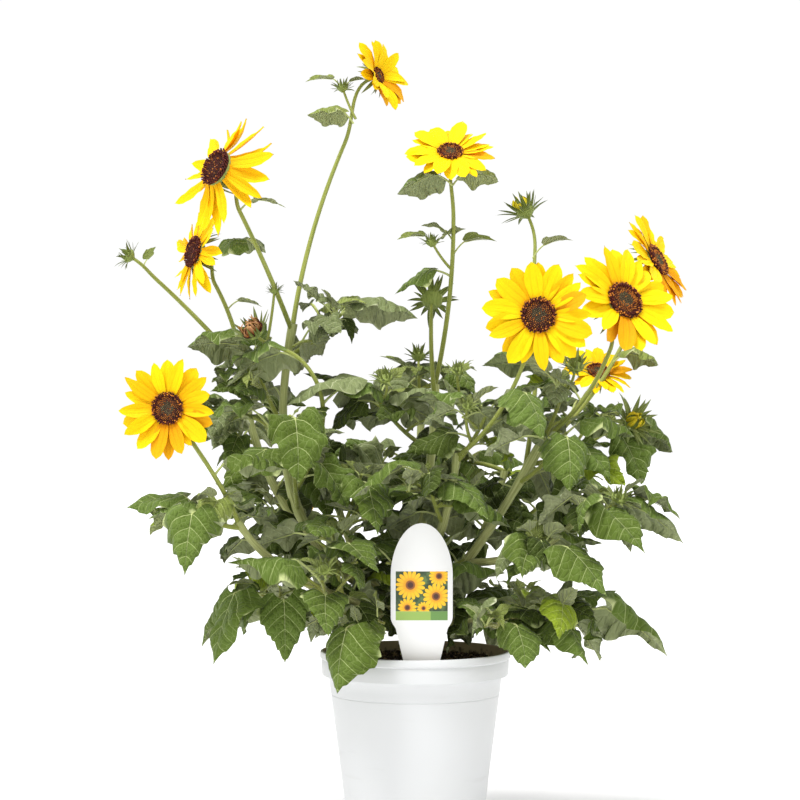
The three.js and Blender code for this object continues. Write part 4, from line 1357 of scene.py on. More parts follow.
class Graph:
    """The nodes of one material, which end in a Principled shader."""

    def __init__(self, name: str, specular: float, constants: Mapping[str, object]) -> None:
        """Makes the material.

        Args:
            name: Name of the material.
            specular: Strength of its reflections.
            constants: What the shader's other sockets hold all over the surface.
        """
        self.material = bpy.data.materials.new(name)
        self.material.use_nodes = True
        self.tree = self.material.node_tree
        self.shader = self.tree.nodes["Principled BSDF"]
        for socket, value in {"Specular IOR Level": specular, **constants}.items():
            self.shader.inputs[socket].default_value = value

    def node(self, kind: str, sockets: Mapping[int | str, object] | None = None,
             **settings: object) -> bpy.types.Node:
        """Adds a node.

        Args:
            kind: The node's type.
            sockets: Values or links of its inputs, by number or name.
            settings: Its options, or a ramp's stops, which are set first.

        Returns:
            The node.
        """
        node = self.tree.nodes.new(kind)
        for name, value in settings.items():
            if name == "stops":
                self.set_stops(node.color_ramp, value)
            else:
                setattr(node, name, value)
        for key, value in (sockets or {}).items():
            self.feed(node.inputs[key], value)
        return node

    @staticmethod
    def set_stops(ramp: bpy.types.ColorRamp, stops: Sequence[tuple[float, Colour]]) -> None:
        """Sets a ramp's stops, each a place and a colour."""
        for _ in stops[2:]:
            ramp.elements.new(1.0)
        for element, (place, colour) in zip(ramp.elements, stops):
            element.position = place
            element.color = (*colour, 1.0)

    def wire(self, kind: str, sockets: Mapping[int | str, object], **settings: object) -> Wire:
        """Adds a node as the method above does, and returns its first output as a number."""
        return Wire(self, self.node(kind, sockets, **settings).outputs[0])

    def feed(self, socket: bpy.types.NodeSocket, value: object) -> None:
        """Links or sets one input."""
        value = value.socket if isinstance(value, Wire) else value
        if isinstance(value, bpy.types.NodeSocket):
            self.tree.links.new(value, socket)
        elif isinstance(value, tuple) and len(value) == 3 and socket.type == "RGBA":
            socket.default_value = (*value, 1.0)
        else:
            socket.default_value = value

    def math(self, operation: str, *values: Wire | float) -> Wire:
        """Returns a Math node's result."""
        return self.wire("ShaderNodeMath", dict(enumerate(values)), operation=operation)

    def split(self, vector: bpy.types.NodeSocket) -> tuple[Wire, Wire, Wire]:
        """Returns a vector's three numbers."""
        return tuple(Wire(self, out) for out in self.node("ShaderNodeSeparateXYZ", {0: vector}).outputs)

    def place(self) -> bpy.types.NodeSocket:
        """Returns the point on the plant, in metres."""
        return self.node("ShaderNodeTexCoord").outputs["Object"]

    def surface(self) -> tuple[Wire, Wire]:
        """Returns the piece's own pattern coordinates, across and along."""
        return self.split(self.node("ShaderNodeTexCoord").outputs["UV"])[:2]

    def join(self, x: Wire | float, y: Wire | float, z: Wire | float = 0.0) -> bpy.types.NodeSocket:
        """Returns three numbers as a vector."""
        return self.node("ShaderNodeCombineXYZ", {0: x, 1: y, 2: z}).outputs[0]

    def noise(self, vector: bpy.types.NodeSocket, scale: float, detail: float = 2.0) -> Wire:
        """Returns soft noise, about 0.5."""
        return self.wire("ShaderNodeTexNoise", {"Vector": vector, "Scale": scale, "Detail": detail})

    def blend(self, share: Wire, first: object, second: object) -> bpy.types.NodeSocket:
        """Returns a colour between two."""
        return self.node("ShaderNodeMix", {0: share, 6: first, 7: second}, data_type="RGBA").outputs[2]

    def ramp(self, value: Wire, *stops: tuple[float, Colour]) -> bpy.types.NodeSocket:
        """Returns the colour of a ramp at a value."""
        return self.node("ShaderNodeValToRGB", {0: value}, stops=stops).outputs[0]

    def finish(self, colour: object, height: Wire | None = None, depth: float = 0.0,
               roughness: Wire | None = None) -> bpy.types.Material:
        """Feeds the shader.

        Args:
            colour: Base colour.
            height: Relief from 0 to 1.
            depth: Height of the relief in metres.
            roughness: Roughness where it varies.

        Returns:
            The material.
        """
        self.feed(self.shader.inputs["Base Color"], colour)
        if height is not None:
            bump = self.node("ShaderNodeBump", {"Strength": 1.0, "Distance": depth, "Height": height})
            self.feed(self.shader.inputs["Normal"], bump.outputs[0])
        if roughness is not None:
            self.feed(self.shader.inputs["Roughness"], roughness)
        return self.material


# ------------------------------------------------------------------ finishes


@dataclass(frozen=True)
class Finish:
    """What a surface is made of."""

    name: str

    def build(self) -> bpy.types.Material:
        """Returns the material, in each kind's own way."""
        raise NotImplementedError

    @cache
    def material(self) -> bpy.types.Material:
        """Returns the material, which all pieces of this finish share."""
        return self.build()


@dataclass(frozen=True)
class LeafSkin(Finish):
    """One skin of a leaf: blade colours, paler veins, pale margin and fine relief."""

    blade: Colour
    shade: Colour
    vein: Colour
    roughness: float = 0.6
    nap: float = 0.05
    relief: float = 0.0016

    def build(self) -> bpy.types.Material:
        """Returns the material."""
        graph = Graph(self.name, 0.1, {"Roughness": self.roughness, "Sheen Weight": self.nap,
                                       "Sheen Roughness": 0.4})
        across, along = graph.surface()
        x = (across - 0.5) * 0.85
        y = (along - 0.16) * 1.25
        out = abs(x)
        grain = graph.noise(graph.place(), 60.0, 3.0)
        patches = graph.noise(graph.place(), 14.0)
        bent = y - out * 0.8 - out * out * 0.9 + x * 0.12 + (patches - 0.5) * 0.1 + (grain - 0.5) * 0.03
        spread = abs((bent * 4.2 + 0.5).fraction() - 0.5)
        side = spread.step(0.03, 0.005) * (out * 2.2).step(1.0, 0.15)
        basal = abs(bent).step(0.008, 0.002) * (out * 2.0).step(1.1, 0.4)
        middle = (out + y * 0.007).step(0.01, 0.004)
        cells = {"Vector": graph.join(x, y * 0.9), "Scale": 15.0}
        net = graph.wire("ShaderNodeTexVoronoi", cells, feature="DISTANCE_TO_EDGE")
        veins = (middle * 0.85).most(basal * 0.75).most(side * 0.7).most(net.step(0.04, 0.0) * 0.16)
        margin = (abs(across - 0.5) * 2.0).step(0.84, 0.96) * 0.9
        blade = graph.blend(patches.step(0.3, 0.7), self.shade, self.blade)
        colour = graph.blend(veins.most(margin), blade, self.vein)
        quilt = (spread * 2.0).step(0.0, 0.9) * 0.8 + net.step(0.0, 0.3) * 0.35 - middle * 0.4
        return graph.finish(colour, quilt + grain * 0.2, self.relief)


@dataclass(frozen=True)
class StemSkin(Finish):
    """Green stem skin with streaks along it, turning reddish below a height."""

    pale: Colour
    deep: Colour
    blush: Colour
    blush_top: float = 0.2

    def build(self) -> bpy.types.Material:
        """Returns the material."""
        graph = Graph(self.name, 0.2, {"Roughness": 0.6, "Sheen Weight": 0.2, "Sheen Roughness": 0.35})
        across, along = graph.surface()
        streaks = graph.noise(graph.join(across * 14.0, along * 1.6), 2.2, 3.0)
        fine = graph.noise(graph.join(across * 60.0, along * 9.0), 1.5)
        height = graph.split(graph.place())[2]
        skin = graph.blend(streaks.step(0.3, 0.72), self.deep, self.pale)
        low = height.step(self.blush_top + 0.12, self.blush_top) * fine.step(0.35, 0.75) * 0.8
        return graph.finish(graph.blend(low, skin, self.blush), streaks * 0.6 + fine * 0.4, 0.0005)


@dataclass(frozen=True)
class RaySkin(Finish):
    """Yellow ray, deeper orange at its foot and darker in its two grooves as painted shade, with fine lines
    along it.
    """

    foot: Colour
    body: Colour
    tip: Colour

    def build(self) -> bpy.types.Material:
        """Returns the material."""
        graph = Graph(self.name, 0.1, {"Roughness": 0.6, "Subsurface Weight": 0.12,
                                       "Subsurface Radius": (0.004, 0.002, 0.0005)})
        across, along = graph.surface()
        cloud = graph.noise(graph.join(across * 3.0, along * 1.4), 2.0)
        lines = graph.noise(graph.join(across * 34.0, along * 1.2), 1.6)
        run = along + (cloud - 0.5) * 0.25
        # The deeper orange towards the foot is painted shade.
        colour = graph.ramp(run, (0.14, self.foot), (0.34, self.body), (0.9, self.tip))
        # The grooves are darkened as painted shade in their creases.
        groove = abs(abs(across - 0.5) - 0.155).step(0.05, 0.0) * run.step(1.0, 0.35)
        colour = graph.blend((groove * 0.5).most(lines.step(0.5, 0.34) * 0.3), colour, self.foot)
        return graph.finish(colour, lines * 0.7 - groove * 0.5, 0.00035)


@dataclass(frozen=True)
class MottledSkin(Finish):
    """A plain small thing of two colours in fine patches, such as a floret or a crumb of bark."""

    first: Colour
    second: Colour
    scale: float
    roughness: float = 0.7
    depth: float = 0.0004

    def build(self) -> bpy.types.Material:
        """Returns the material."""
        graph = Graph(self.name, 0.3, {"Roughness": self.roughness})
        grain = graph.noise(graph.place(), self.scale, 3.0)
        colour = graph.blend(grain.step(0.36, 0.66), self.first, self.second)
        return graph.finish(colour, grain, self.depth)


@dataclass(frozen=True)
class BractSkin(Finish):
    """Green bract, darker to its tip, with a pale rib and a hairy grey bloom."""

    foot: Colour
    tip: Colour
    rib: Colour

    def build(self) -> bpy.types.Material:
        """Returns the material."""
        graph = Graph(self.name, 0.15, {"Roughness": 0.65, "Sheen Weight": 0.12, "Sheen Roughness": 0.35})
        across, along = graph.surface()
        off = abs(across - 0.5)
        colour = graph.ramp(along, (0.16, self.foot), (0.75, self.tip))
        lines = graph.noise(graph.join(across * 22.0, along * 2.0), 2.0)
        rib = off.step(0.06, 0.01).most(off.step(0.4, 0.5)) * 0.5
        return graph.finish(graph.blend(rib, colour, self.rib), lines, 0.0003)


@dataclass(frozen=True)
class PotPlastic(Finish):
    """White nursery-pot plastic: a soft satin, faintly uneven, with dull scuffs."""

    white: Colour
    dull: Colour

    def build(self) -> bpy.types.Material:
        """Returns the material."""
        graph = Graph(self.name, 0.45, {"Subsurface Weight": 0.05, "Subsurface Radius": (0.004,) * 3})
        place = graph.place()
        clouds = graph.noise(place, 9.0, 3.0)
        x, y, z = graph.split(place)
        rubs = graph.noise(graph.join(x * 14.0, y * 14.0, z * 90.0), 1.0, 3.0)
        scuff = rubs.step(0.62, 0.75) * 0.5
        colour = graph.blend((clouds.step(0.35, 0.8) * 0.5).most(scuff), self.white, self.dull)
        waves = graph.noise(graph.join(x * 10.0, y * 10.0, z * 26.0), 1.0, 1.0)
        return graph.finish(colour, waves, 0.0006, 0.42 + scuff * 0.2)


@dataclass(frozen=True)
class PotLining(Finish):
    """Inner wall of the pot: tan, with dark brown specks that thicken downwards into solid dark brown near
    the filling.
    """

    tan: Colour
    low_brown: Colour

    def build(self) -> bpy.types.Material:
        """Returns the material."""
        graph = Graph(self.name, 0.3, {"Roughness": 0.8})
        place = graph.place()
        specks = graph.noise(place, 210.0, 3.0)
        # Darker towards the filling, in specks and then solid.
        low_dark = (specks + (0.166 - graph.split(place)[2]) * 30.0).step(0.55, 0.8)
        return graph.finish(graph.blend(low_dark, self.tan, self.low_brown), specks, 0.0005)


@dataclass(frozen=True)
class Motif:
    """A flower drawn on the label: centre and reach in millimetres, rays and turn."""

    x: float
    z: float
    reach: float
    rays: int
    turn: float


@dataclass(frozen=True)
class LabelPrint(Finish):
    """White label card with one generic picture of flowers over a two-tone green band.

    middle is the label's middle line. The picture reaches from panel[0] to panel[1] in height and by
    half to each side, and the band reaches from band_low up to it.
    """

    middle: float
    motifs: tuple[Motif, ...]
    panel: Span = (209.9, 243.5)
    half: float = 21.8
    band_low: float = 202.3
    soft: float = 0.12
    card: Colour = (0.86, 0.86, 0.85)
    hedge: Colour = (0.03, 0.06, 0.022)
    hedge_light: Colour = (0.12, 0.2, 0.06)
    petal: Colour = (0.95, 0.56, 0.012)
    petal_deep: Colour = (0.82, 0.3, 0.01)
    disc: Colour = (0.07, 0.022, 0.012)
    disc_rim: Colour = (0.28, 0.09, 0.02)
    band_light: Colour = (0.31, 0.47, 0.1)
    band_deep: Colour = (0.14, 0.29, 0.07)

    def build(self) -> bpy.types.Material:
        """Returns the material."""
        graph = Graph(self.name, 0.5, {"Roughness": 0.32})
        place = graph.place()
        x_metres, _, z_metres = graph.split(place)
        x, z = x_metres / MM - self.middle, z_metres / MM
        leaves = graph.noise(place, 160.0, 3.0)
        picture = graph.blend(leaves.step(0.42, 0.7), self.hedge, self.hedge_light)
        for motif in self.motifs:
            picture = self.flower(graph, picture, x, z, motif)
        inside = abs(x).step(self.half + self.soft, self.half - self.soft)
        upper = z.band(*self.panel, self.soft)
        lower = z.band(self.band_low, self.panel[0], self.soft)
        band = graph.blend(x.step(self.half * 0.33, self.half * 0.36), self.band_light, self.band_deep)
        colour = graph.blend(inside * upper, self.card, picture)
        return graph.finish(graph.blend(inside * lower, colour, band))

    def flower(self, graph: Graph, picture: object, x: Wire, z: Wire,
               motif: Motif) -> bpy.types.NodeSocket:
        """Draws one flower over the picture.

        Args:
            graph: The label's nodes.
            picture: Colour so far.
            x: Millimetres to the right of the label's middle.
            z: Millimetres above the pot's underside.
            motif: The flower.

        Returns:
            The picture with the flower on it.
        """
        right, up = x - motif.x, z - motif.z
        away = graph.math("SQRT", right * right + up * up)
        turn = graph.math("ARCTAN2", up, right)
        lobes = abs((turn * (motif.rays / 2) + motif.turn).wave())
        rim = (lobes**0.5 * 0.36 + 0.64) * motif.reach
        petals = (away - rim).step(0.15, -0.15)
        share = away / motif.reach
        streak = lobes.step(0.5, 0.0).most(share.step(0.62, 0.34))
        yellow = graph.blend(streak * 0.75, self.petal, self.petal_deep)
        core = graph.blend(share.step(0.16, 0.24), self.disc, self.disc_rim)
        return graph.blend(share.step(0.33, 0.3), graph.blend(petals, picture, yellow), core)


@dataclass(frozen=True)
class Floor(Finish):
    """Plain pale floor."""

    name: str = "studio_floor"
    pale: Colour = (0.8, 0.8, 0.8)

    def build(self) -> bpy.types.Material:
        """Returns the material."""
        return Graph(self.name, 0.1, {"Roughness": 0.9}).finish(self.pale)


# ------------------------------------------------------------------ pot, potting mix and label


def polar(radius: float, turn: float, z: float) -> Array:
    """Returns a point from its distance and turn, in radians, round the middle line and its height."""
    return np.array((radius * math.cos(turn), radius * math.sin(turn), z))


@dataclass
class NurseryPot:
    """Round tapered pot with a stepped collar, a rolled rim, a small tab under it and drain holes."""

    rim_radius: float
    height: float
    base_radius: float = 56.5
    body_top_radius: float = 75.0
    body_top: float = 148.0
    groove: float = 133.0
    collar_radius: float = 81.0
    rim_height: float = 7.0
    wall: float = 1.8
    floor: float = 2.4
    facets: int = 128
    drains: int = 6
    drain_radius: float = 5.0
    drain_circle: float = 42.0
    tab: Triple = (24.0, 3.0, 4.6)
    tab_x: float = 4.0

    def at(self, z: float) -> float:
        """Returns the radius of the tapered body at a height."""
        slope = (self.body_top_radius - self.base_radius) / (self.body_top - 3)
        return self.base_radius + slope * (z - 3)

    def outside(self) -> list[Span]:
        """Returns the outer profile from the middle of the underside to the rim's crown."""
        base, body, collar, rim = self.base_radius, self.body_top_radius, self.collar_radius, self.rim_radius
        at, line, top, high = self.at, self.groove, self.body_top, self.height
        lip = high - self.rim_height
        return [
            (0.001, 0.9), (base - 9, 0.9), (base - 7, 0), (base - 2, 0), (base - 0.6, 0.8), (base, 3),
            (at(40), 40), (at(90), 90), (at(line - 1), line - 1), (at(line) - 0.45, line - 0.4),
            (at(line) - 0.45, line + 0.2), (at(line + 0.8) + 0.15, line + 0.8),
            (at(line + 6) + 0.1, line + 6), (body, top - 1.4), (body + 1, top - 0.2),
            (collar - 1.2, top + 0.9), (collar - 0.2, top + 2), (collar + 0.2, lip - 7),
            (collar + 0.3, lip - 1.2), (collar - 0.1, lip - 0.2), (collar + 0.1, lip + 0.5),
            (rim - 0.7, lip + 0.7), (rim - 0.05, lip + 1.4), (rim, lip + 3), (rim - 0.1, high - 1.2),
            (rim - 0.5, high - 0.3), (rim - 1.2, high),
        ]

    def inside(self) -> list[Span]:
        """Returns the inner profile from the rim's crown to the middle of the floor."""
        collar, body, base = (radius - self.wall for radius in (
            self.collar_radius, self.body_top_radius, self.base_radius))
        top, high, floor = self.body_top, self.height, self.floor
        return [
            (collar + 1.1, high), (collar + 0.5, high - 0.4), (collar + 0.2, high - 2), (collar, top + 5),
            (collar - 1, top + 3), (body + 0.6, top + 1), (body, top - 2), (base, floor + 3),
            (base - 3, floor), (0.001, floor),
        ]

    def build(self) -> None:
        """Spins the profile, adds the tab and bores the drain holes."""
        bm = lathe(self.outside() + self.inside(), self.facets)
        for face in bm.faces:
            middle = face.calc_center_median()
            if middle.z > self.floor - 0.1 and middle.xy.dot(face.normal.xy) < 0:
                face.material_index = 1
        self.add_tab(bm)
        finishes = [PotPlastic("pot_white", (0.675, 0.685, 0.69), (0.62, 0.625, 0.62)),
                    PotLining("pot_lining", (0.5, 0.4, 0.26), (0.09, 0.06, 0.035))]
        mesh = mesh_of(bm, "nursery_pot", 35)
        self.bore(Piece("nursery_pot", "pot_plastic", finishes, ["pot"]).show(mesh))

    def add_tab(self, bm: bmesh.types.BMesh) -> None:
        """Adds the small moulded tab that fills the groove under the rim at the front.

        Args:
            bm: The pot's mesh.
        """
        long, deep, high = self.tab
        block = bmesh.ops.create_cube(bm, size=1)["verts"]
        radius = self.collar_radius + 0.2
        bmesh.ops.scale(bm, vec=(long, deep, high), verts=block)
        low = self.height - self.rim_height - high / 2 + 0.6
        bmesh.ops.translate(bm, vec=(self.tab_x, -radius + deep / 2 - 1.4, low), verts=block)
        for vert in block:
            vert.co.y += radius - math.sqrt(radius**2 - (vert.co.x - self.tab_x) ** 2)
        edges = {edge for vert in block for edge in vert.link_edges}
        bmesh.ops.bevel(bm, geom=list(edges), offset=0.5, offset_type="OFFSET", affect="EDGES",
                        segments=2, profile=0.5, material=-1)

    def bore(self, pot: bpy.types.Object) -> None:
        """Cuts the drain holes through the floor.

        Args:
            pot: The pot, which takes the bored mesh.
        """
        bm = bmesh.new()
        for i in range(self.drains):
            made = bmesh.ops.create_cone(bm, cap_ends=True, segments=24, radius1=self.drain_radius,
                                         radius2=self.drain_radius, depth=12)["verts"]
            middle = polar(self.drain_circle, (i + 0.5) / self.drains * math.tau, 0)
            bmesh.ops.translate(bm, vec=middle, verts=made)
        cutter = bpy.data.objects.new("drain_cutter", mesh_of(bm, "drain_cutter"))
        bpy.context.scene.collection.objects.link(cutter)
        cut = pot.modifiers.new("drains", "BOOLEAN")
        cut.object = cutter
        cut.solver = "EXACT"
        graph = bpy.context.evaluated_depsgraph_get()
        bored = bpy.data.meshes.new_from_object(pot.evaluated_get(graph))
        pot.modifiers.clear()
        pot.data = bored
        bpy.data.objects.remove(cutter)


@dataclass
class PottingMix:
    """Dark peat and bark filling with loose crumbs, chips and fibres on its surface."""

    edge_radius: float
    crown: float
    bottom: float = 2.9
    bottom_radius: float = 53.9
    shoulder: float = 146.0
    shoulder_radius: float = 71.5
    edge_height: float = 158.6
    rings: int = 30
    crumbs: int = 1500
    chips: int = 260
    fibres: int = 240

    def build(self) -> None:
        """Makes the filling's body and what lies loose on it."""
        profile = [(0.001, self.bottom), (self.bottom_radius, self.bottom),
                   (self.shoulder_radius, self.shoulder), (self.edge_radius, self.edge_height)]
        for share in np.linspace(0.97, 0.0, self.rings)[:-1]:
            profile.append((self.edge_radius * share, self.surface(self.edge_radius * share)))
        bm = lathe([*profile, (0.001, self.crown)], 96)
        draw = Seeds(71)
        for vert in bm.verts:
            if vert.co.z > self.shoulder + 8:
                vert.co.z += draw.around(0.9)
        soil = MottledSkin("mix_dark", (0.016, 0.011, 0.008), (0.05, 0.032, 0.02), 420, 0.95, 0.0012)
        bark = MottledSkin("mix_bark", (0.06, 0.034, 0.018), (0.16, 0.1, 0.055), 300, 0.85, 0.0006)
        fibre = MottledSkin("mix_fibre", (0.2, 0.14, 0.08), (0.34, 0.26, 0.16), 260, 0.85, 0.0003)
        Piece("mix_bed", "potting_mix", [soil], ["potting_mix"]).show(mesh_of(bm, "mix_bed", 80))
        loose = Spray()
        self.scatter(loose, Seeds(73))
        Piece("mix_crumbs", "potting_mix", [soil, bark, fibre]).join(loose, 30)

    def surface(self, radius: float) -> float:
        """Returns the height of the mix at a distance from the middle."""
        share = min(1.0, radius / self.edge_radius)
        return self.crown - (self.crown - self.edge_height) * share**2

    def scatter(self, loose: Spray, draw: Seeds) -> None:
        """Strews crumbs, flat bark chips and fibres over the surface.

        Args:
            loose: What they are joined to.
            draw: Source of the draws.
        """
        bm = bmesh.new()
        bmesh.ops.create_icosphere(bm, subdivisions=1, radius=1)
        for vert in bm.verts:
            vert.co *= 1 + draw.around(0.3)
        crumb = Mould.cast(bm)
        for i in range(self.crumbs + self.chips):
            chip = i >= self.crumbs
            long, broad, flat, swell = (1.6, 0.8, 0.35, 1.7) if chip else (1.1, 0.9, 1.0, 1.0)
            radius = (self.edge_radius - 2) * math.sqrt(draw())
            turn = math.tau * draw()
            size = (0.7 + 1.5 * draw() ** 2) * swell
            spin, tilt = math.tau * draw(), draw.around(0.5)
            frame = np.array((polar(1, spin, tilt) * size * long,
                              (-math.sin(spin) * size * broad, math.cos(spin) * size * broad, 0),
                              polar(-tilt, spin, 1) * size * flat))
            where = polar(radius, turn, self.surface(radius) + size * flat * 0.4)
            kind = 1 if chip or draw() < 0.16 else 0
            loose.add(crumb, where + crumb.verts @ frame, kind)
        tubes = Tubes()
        for _ in range(self.fibres):
            radius = (self.edge_radius - 6) * math.sqrt(draw())
            turn, spin = math.tau * draw(), math.tau * draw()
            start = polar(radius, turn, self.surface(radius) + 0.8)
            reach = draw.within(3, 8)
            run = polar(1, spin, draw.around(0.12)) * reach
            bow = np.array((draw.around(1.2), draw.around(1.2), 0.5))
            line = Bend.between(start - run / 2, start + run / 2, bow).points(5)
            tubes.run(loose, line, np.full(5, draw.within(0.16, 0.14)), 4, 2)


@dataclass
class PlantLabel:
    """Thin arched label that stands in the mix, slightly bowed, with a generic flower picture."""

    half_width: float = 26.0
    spike_half: float = 14.0
    tip_half: float = 5.0
    top: float = 284.0
    shoulder: float = 241.0
    waist: float = 201.0
    surface: float = 162.0
    spike_tip: float = 122.0
    x: float = 5.0
    y: float = -66.0
    lean: float = 3.0
    thickness: float = 0.9
    bow: float = 1.6
    columns: int = 16
    rows: int = 110
    motifs: tuple[Motif, ...] = (
        Motif(-9.5, 232.0, 12.5, 17, 0.3), Motif(12.0, 222.5, 11.0, 15, 1.1),
        Motif(-12.0, 213.0, 8.0, 14, 0.7), Motif(14.5, 239.5, 8.5, 16, 2.1),
        Motif(1.5, 212.5, 5.5, 13, 1.7),
    )

    def half_at(self, z: float) -> float:
        """Returns the label's half width at a height.

        Args:
            z: The height.

        Returns:
            The half width.
        """
        if z <= self.surface:
            share = (z - self.spike_tip) / (self.surface - self.spike_tip)
            return self.tip_half + (self.spike_half - self.tip_half) * share
        if z <= self.waist - 5:
            share = (z - self.surface) / (self.waist - 5 - self.surface)
            return self.spike_half + (self.half_width - 4 - self.spike_half) * share
        if z <= self.waist + 4:
            share = (z - self.waist + 5) / 9
            return self.half_width - 4 * (1 - share) ** 2
        if z <= self.shoulder:
            return self.half_width
        share = (z - self.shoulder) / (self.top - self.shoulder)
        return self.half_width * max(0.0, 1 - share**1.8) ** 0.5

    def build(self) -> None:
        """Makes the card from a grid and gives it its thickness."""
        bm = bmesh.new()
        bmesh.ops.create_grid(bm, x_segments=self.columns, y_segments=self.rows, size=0.5)
        for vert in bm.verts:
            share = vert.co.y + 0.5
            z = self.spike_tip + (self.top - self.spike_tip) * (1 - (1 - share) ** 1.25)
            x = 2 * vert.co.x * max(0.25, self.half_at(z))
            vert.co = (x, 0, z)
        bmesh.ops.recalc_face_normals(bm, faces=bm.faces)
        if sum(face.normal.y for face in bm.faces) > 0:
            bmesh.ops.reverse_faces(bm, faces=bm.faces)
        bmesh.ops.solidify(bm, geom=list(bm.faces), thickness=self.thickness)
        bmesh.ops.recalc_face_normals(bm, faces=bm.faces)
        for face in bm.faces:
            face.material_index = 0 if face.normal.y < -0.7 else 1
        middle = sum(vert.co.y for vert in bm.verts) / len(bm.verts)
        slope = math.tan(math.radians(self.lean))
        for vert in bm.verts:
            across = vert.co.x / self.half_width
            rise = vert.co.z - self.surface
            vert.co.y += self.y - middle - rise * slope + self.bow * (across**2 - 0.35)
            vert.co.x += self.x
        card = MottledSkin("label_card", (0.86, 0.86, 0.85), (0.82, 0.82, 0.81), 30, 0.35, 0.00005)
        finishes = [LabelPrint("label_print", self.x, self.motifs), card]
        piece = Piece("label_card", "label_plastic", finishes, ["plant_label"])
        piece.show(mesh_of(bm, "label_card", 50))


# ------------------------------------------------------------------ stems, leaves and hairs


def taper(ends: Span, share: Array) -> Array:
    """Returns what runs evenly from a first value to a last, at shares of the way."""
    return ends[0] + (ends[1] - ends[0]) * share


@dataclass
class StemWork:
    """Skins of the main stem, boughs, stalks and twigs, the leaves' stalks, and the hairs on them."""

    growth: Growth
    foot_flare: float = 2.2
    hair_spacing: float = 0.34
    hair_length: Span = (0.8, 1.3)
    hair_half: float = 0.06
    tubes: Tubes = field(default_factory=Tubes)
    hairs: Spray = field(default_factory=Spray)

    def build(self) -> None:
        """Makes each kind of stem as one piece."""
        self.hair_mould = self.hair()
        green = StemSkin("stem_green", (0.58, 0.62, 0.27), (0.34, 0.38, 0.12), (0.24, 0.13, 0.07), 0.2)
        stalk = StemSkin("stalk_green", (0.38, 0.42, 0.1), (0.22, 0.26, 0.045), (0.24, 0.12, 0.05), 0.16)
        petiole = StemSkin("leaf_stalk_green", (0.6, 0.66, 0.28), (0.4, 0.46, 0.14),
                           (0.28, 0.12, 0.06), 0.12)
        pale = MottledSkin("hair_pale", (0.74, 0.74, 0.5), (0.84, 0.84, 0.64), 90, 0.5, 0.0)
        boughs, stalks, petioles = Spray(), Spray(), Spray()
        self.skin_main_stem(boughs)
        for bough in BOUGHS:
            line = self.growth.lines[bough.name].points(44)
            radii = self.bough_radii(bough, len(line))
            self.tubes.run(boughs, line, radii, 16, 0, 0.045)
            self.grow_hairs(line, radii, Seeds(len(bough.name) + int(bough.tip[0]) + 900))
        names = ["main_stem", *(bough.name for bough in BOUGHS)]
        Piece("stems_and_boughs", "green_stem", [green], names).join(boughs, 60)
        for number, stem in enumerate(self.growth.stalks):
            radii = np.linspace(*stem.radii, len(stem.line))
            self.tubes.run(stalks, stem.line, radii, 9, 0, 0.03)
            self.grow_hairs(stem.line, radii, Seeds(number + 2000))
        Piece("stalks_and_twigs", "green_stem", [stalk]).join(stalks, 60)
        for leaf in [*self.growth.leaves, *self.growth.young]:
            self.add_petiole(petioles, leaf)
        Piece("leaf_stalks", "green_stem", [petiole]).join(petioles, 60)
        Piece("stem_hairs", "green_stem", [pale]).join(self.hairs, 30)

    def skin_main_stem(self, boughs: Spray) -> None:
        """Adds the main stem with its flared, ridged foot.

        Args:
            boughs: What it is joined to.
        """
        line = self.growth.lines["main_stem"].points(30)
        share = np.linspace(0, 1, len(line))
        radii = taper(MAIN_STEM.radii, share) + self.foot_flare * np.exp(-((share / 0.16) ** 2))
        self.tubes.run(boughs, line, radii, 20, 0, 0.06)

    @staticmethod
    def bough_radii(bough: Limb, count: int) -> Array:
        """Returns a bough's radii, swollen where shoots leave it.

        Args:
            bough: The bough.
            count: Points along it.

        Returns:
            The radius at each point.
        """
        share = np.linspace(0, 1, count)
        radii = taper(bough.radii, share)
        for shoot in (*FLOWER_SHOOTS, *LEAFY_SHOOTS):
            if shoot.on == bough.name:
                radii = radii * (1 + 0.16 * np.exp(-(((share - shoot.at) / 0.03) ** 2)))
        return radii

    def add_petiole(self, petioles: Spray, leaf: Leaf) -> None:
        """Adds a leaf's stalk, which runs on under the blade as its midrib.

        Args:
            petioles: What it is joined to.
            leaf: The leaf.
        """
        lift = 0.08 * leaf.length * Leaf.STALK_SHARE
        stalk = Bend.between(leaf.root, leaf.base, (0, 0, lift)).points(6)
        along = np.array([[0, y, -0.02] for y in (0.08, 0.3, 0.5, 0.72)])
        line = np.vstack([stalk, leaf.seat().lay(along)])
        thick = 0.35 + leaf.length * 0.0145
        radii = np.array([1.35, 1.1, 1.0, 0.95, 0.9, 0.8, 0.66, 0.5, 0.34, 0.16]) * thick
        self.tubes.run(petioles, line, radii, 6)

    def grow_hairs(self, line: Array, radii: Array, draw: Seeds) -> None:
        """Sets fine hairs round a stem.

        Args:
            line: The stem's middle line.
            radii: Its radius at each point.
            draw: Source of the draws.
        """
        across, aside = carried_frames(line)
        steps = np.linalg.norm(np.diff(line, axis=0), axis=1)
        travel = np.concatenate([[0], np.cumsum(steps)])
        for _ in range(int(travel[-1] / self.hair_spacing)):
            at = travel[-1] * draw()
            turn = math.tau * draw()
            index = min(len(steps) - 1, int(np.searchsorted(travel, at, side="right") - 1))
            share = (at - travel[index]) / steps[index]
            place, radius = taper(line[index:index + 2], share), taper(radii[index:index + 2], share)
            out = across[index] * math.cos(turn) + aside[index] * math.sin(turn)
            ahead = unit(line[index + 1] - line[index])
            lean = unit(out + ahead * draw.around(0.5))
            length = draw.within(*self.hair_length)
            half = self.hair_half
            frame = np.array((ahead * half, np.cross(lean, ahead) * half, lean * length))
            self.hairs.add(self.hair_mould, place + out * radius * 0.93 + self.hair_mould.verts @ frame)

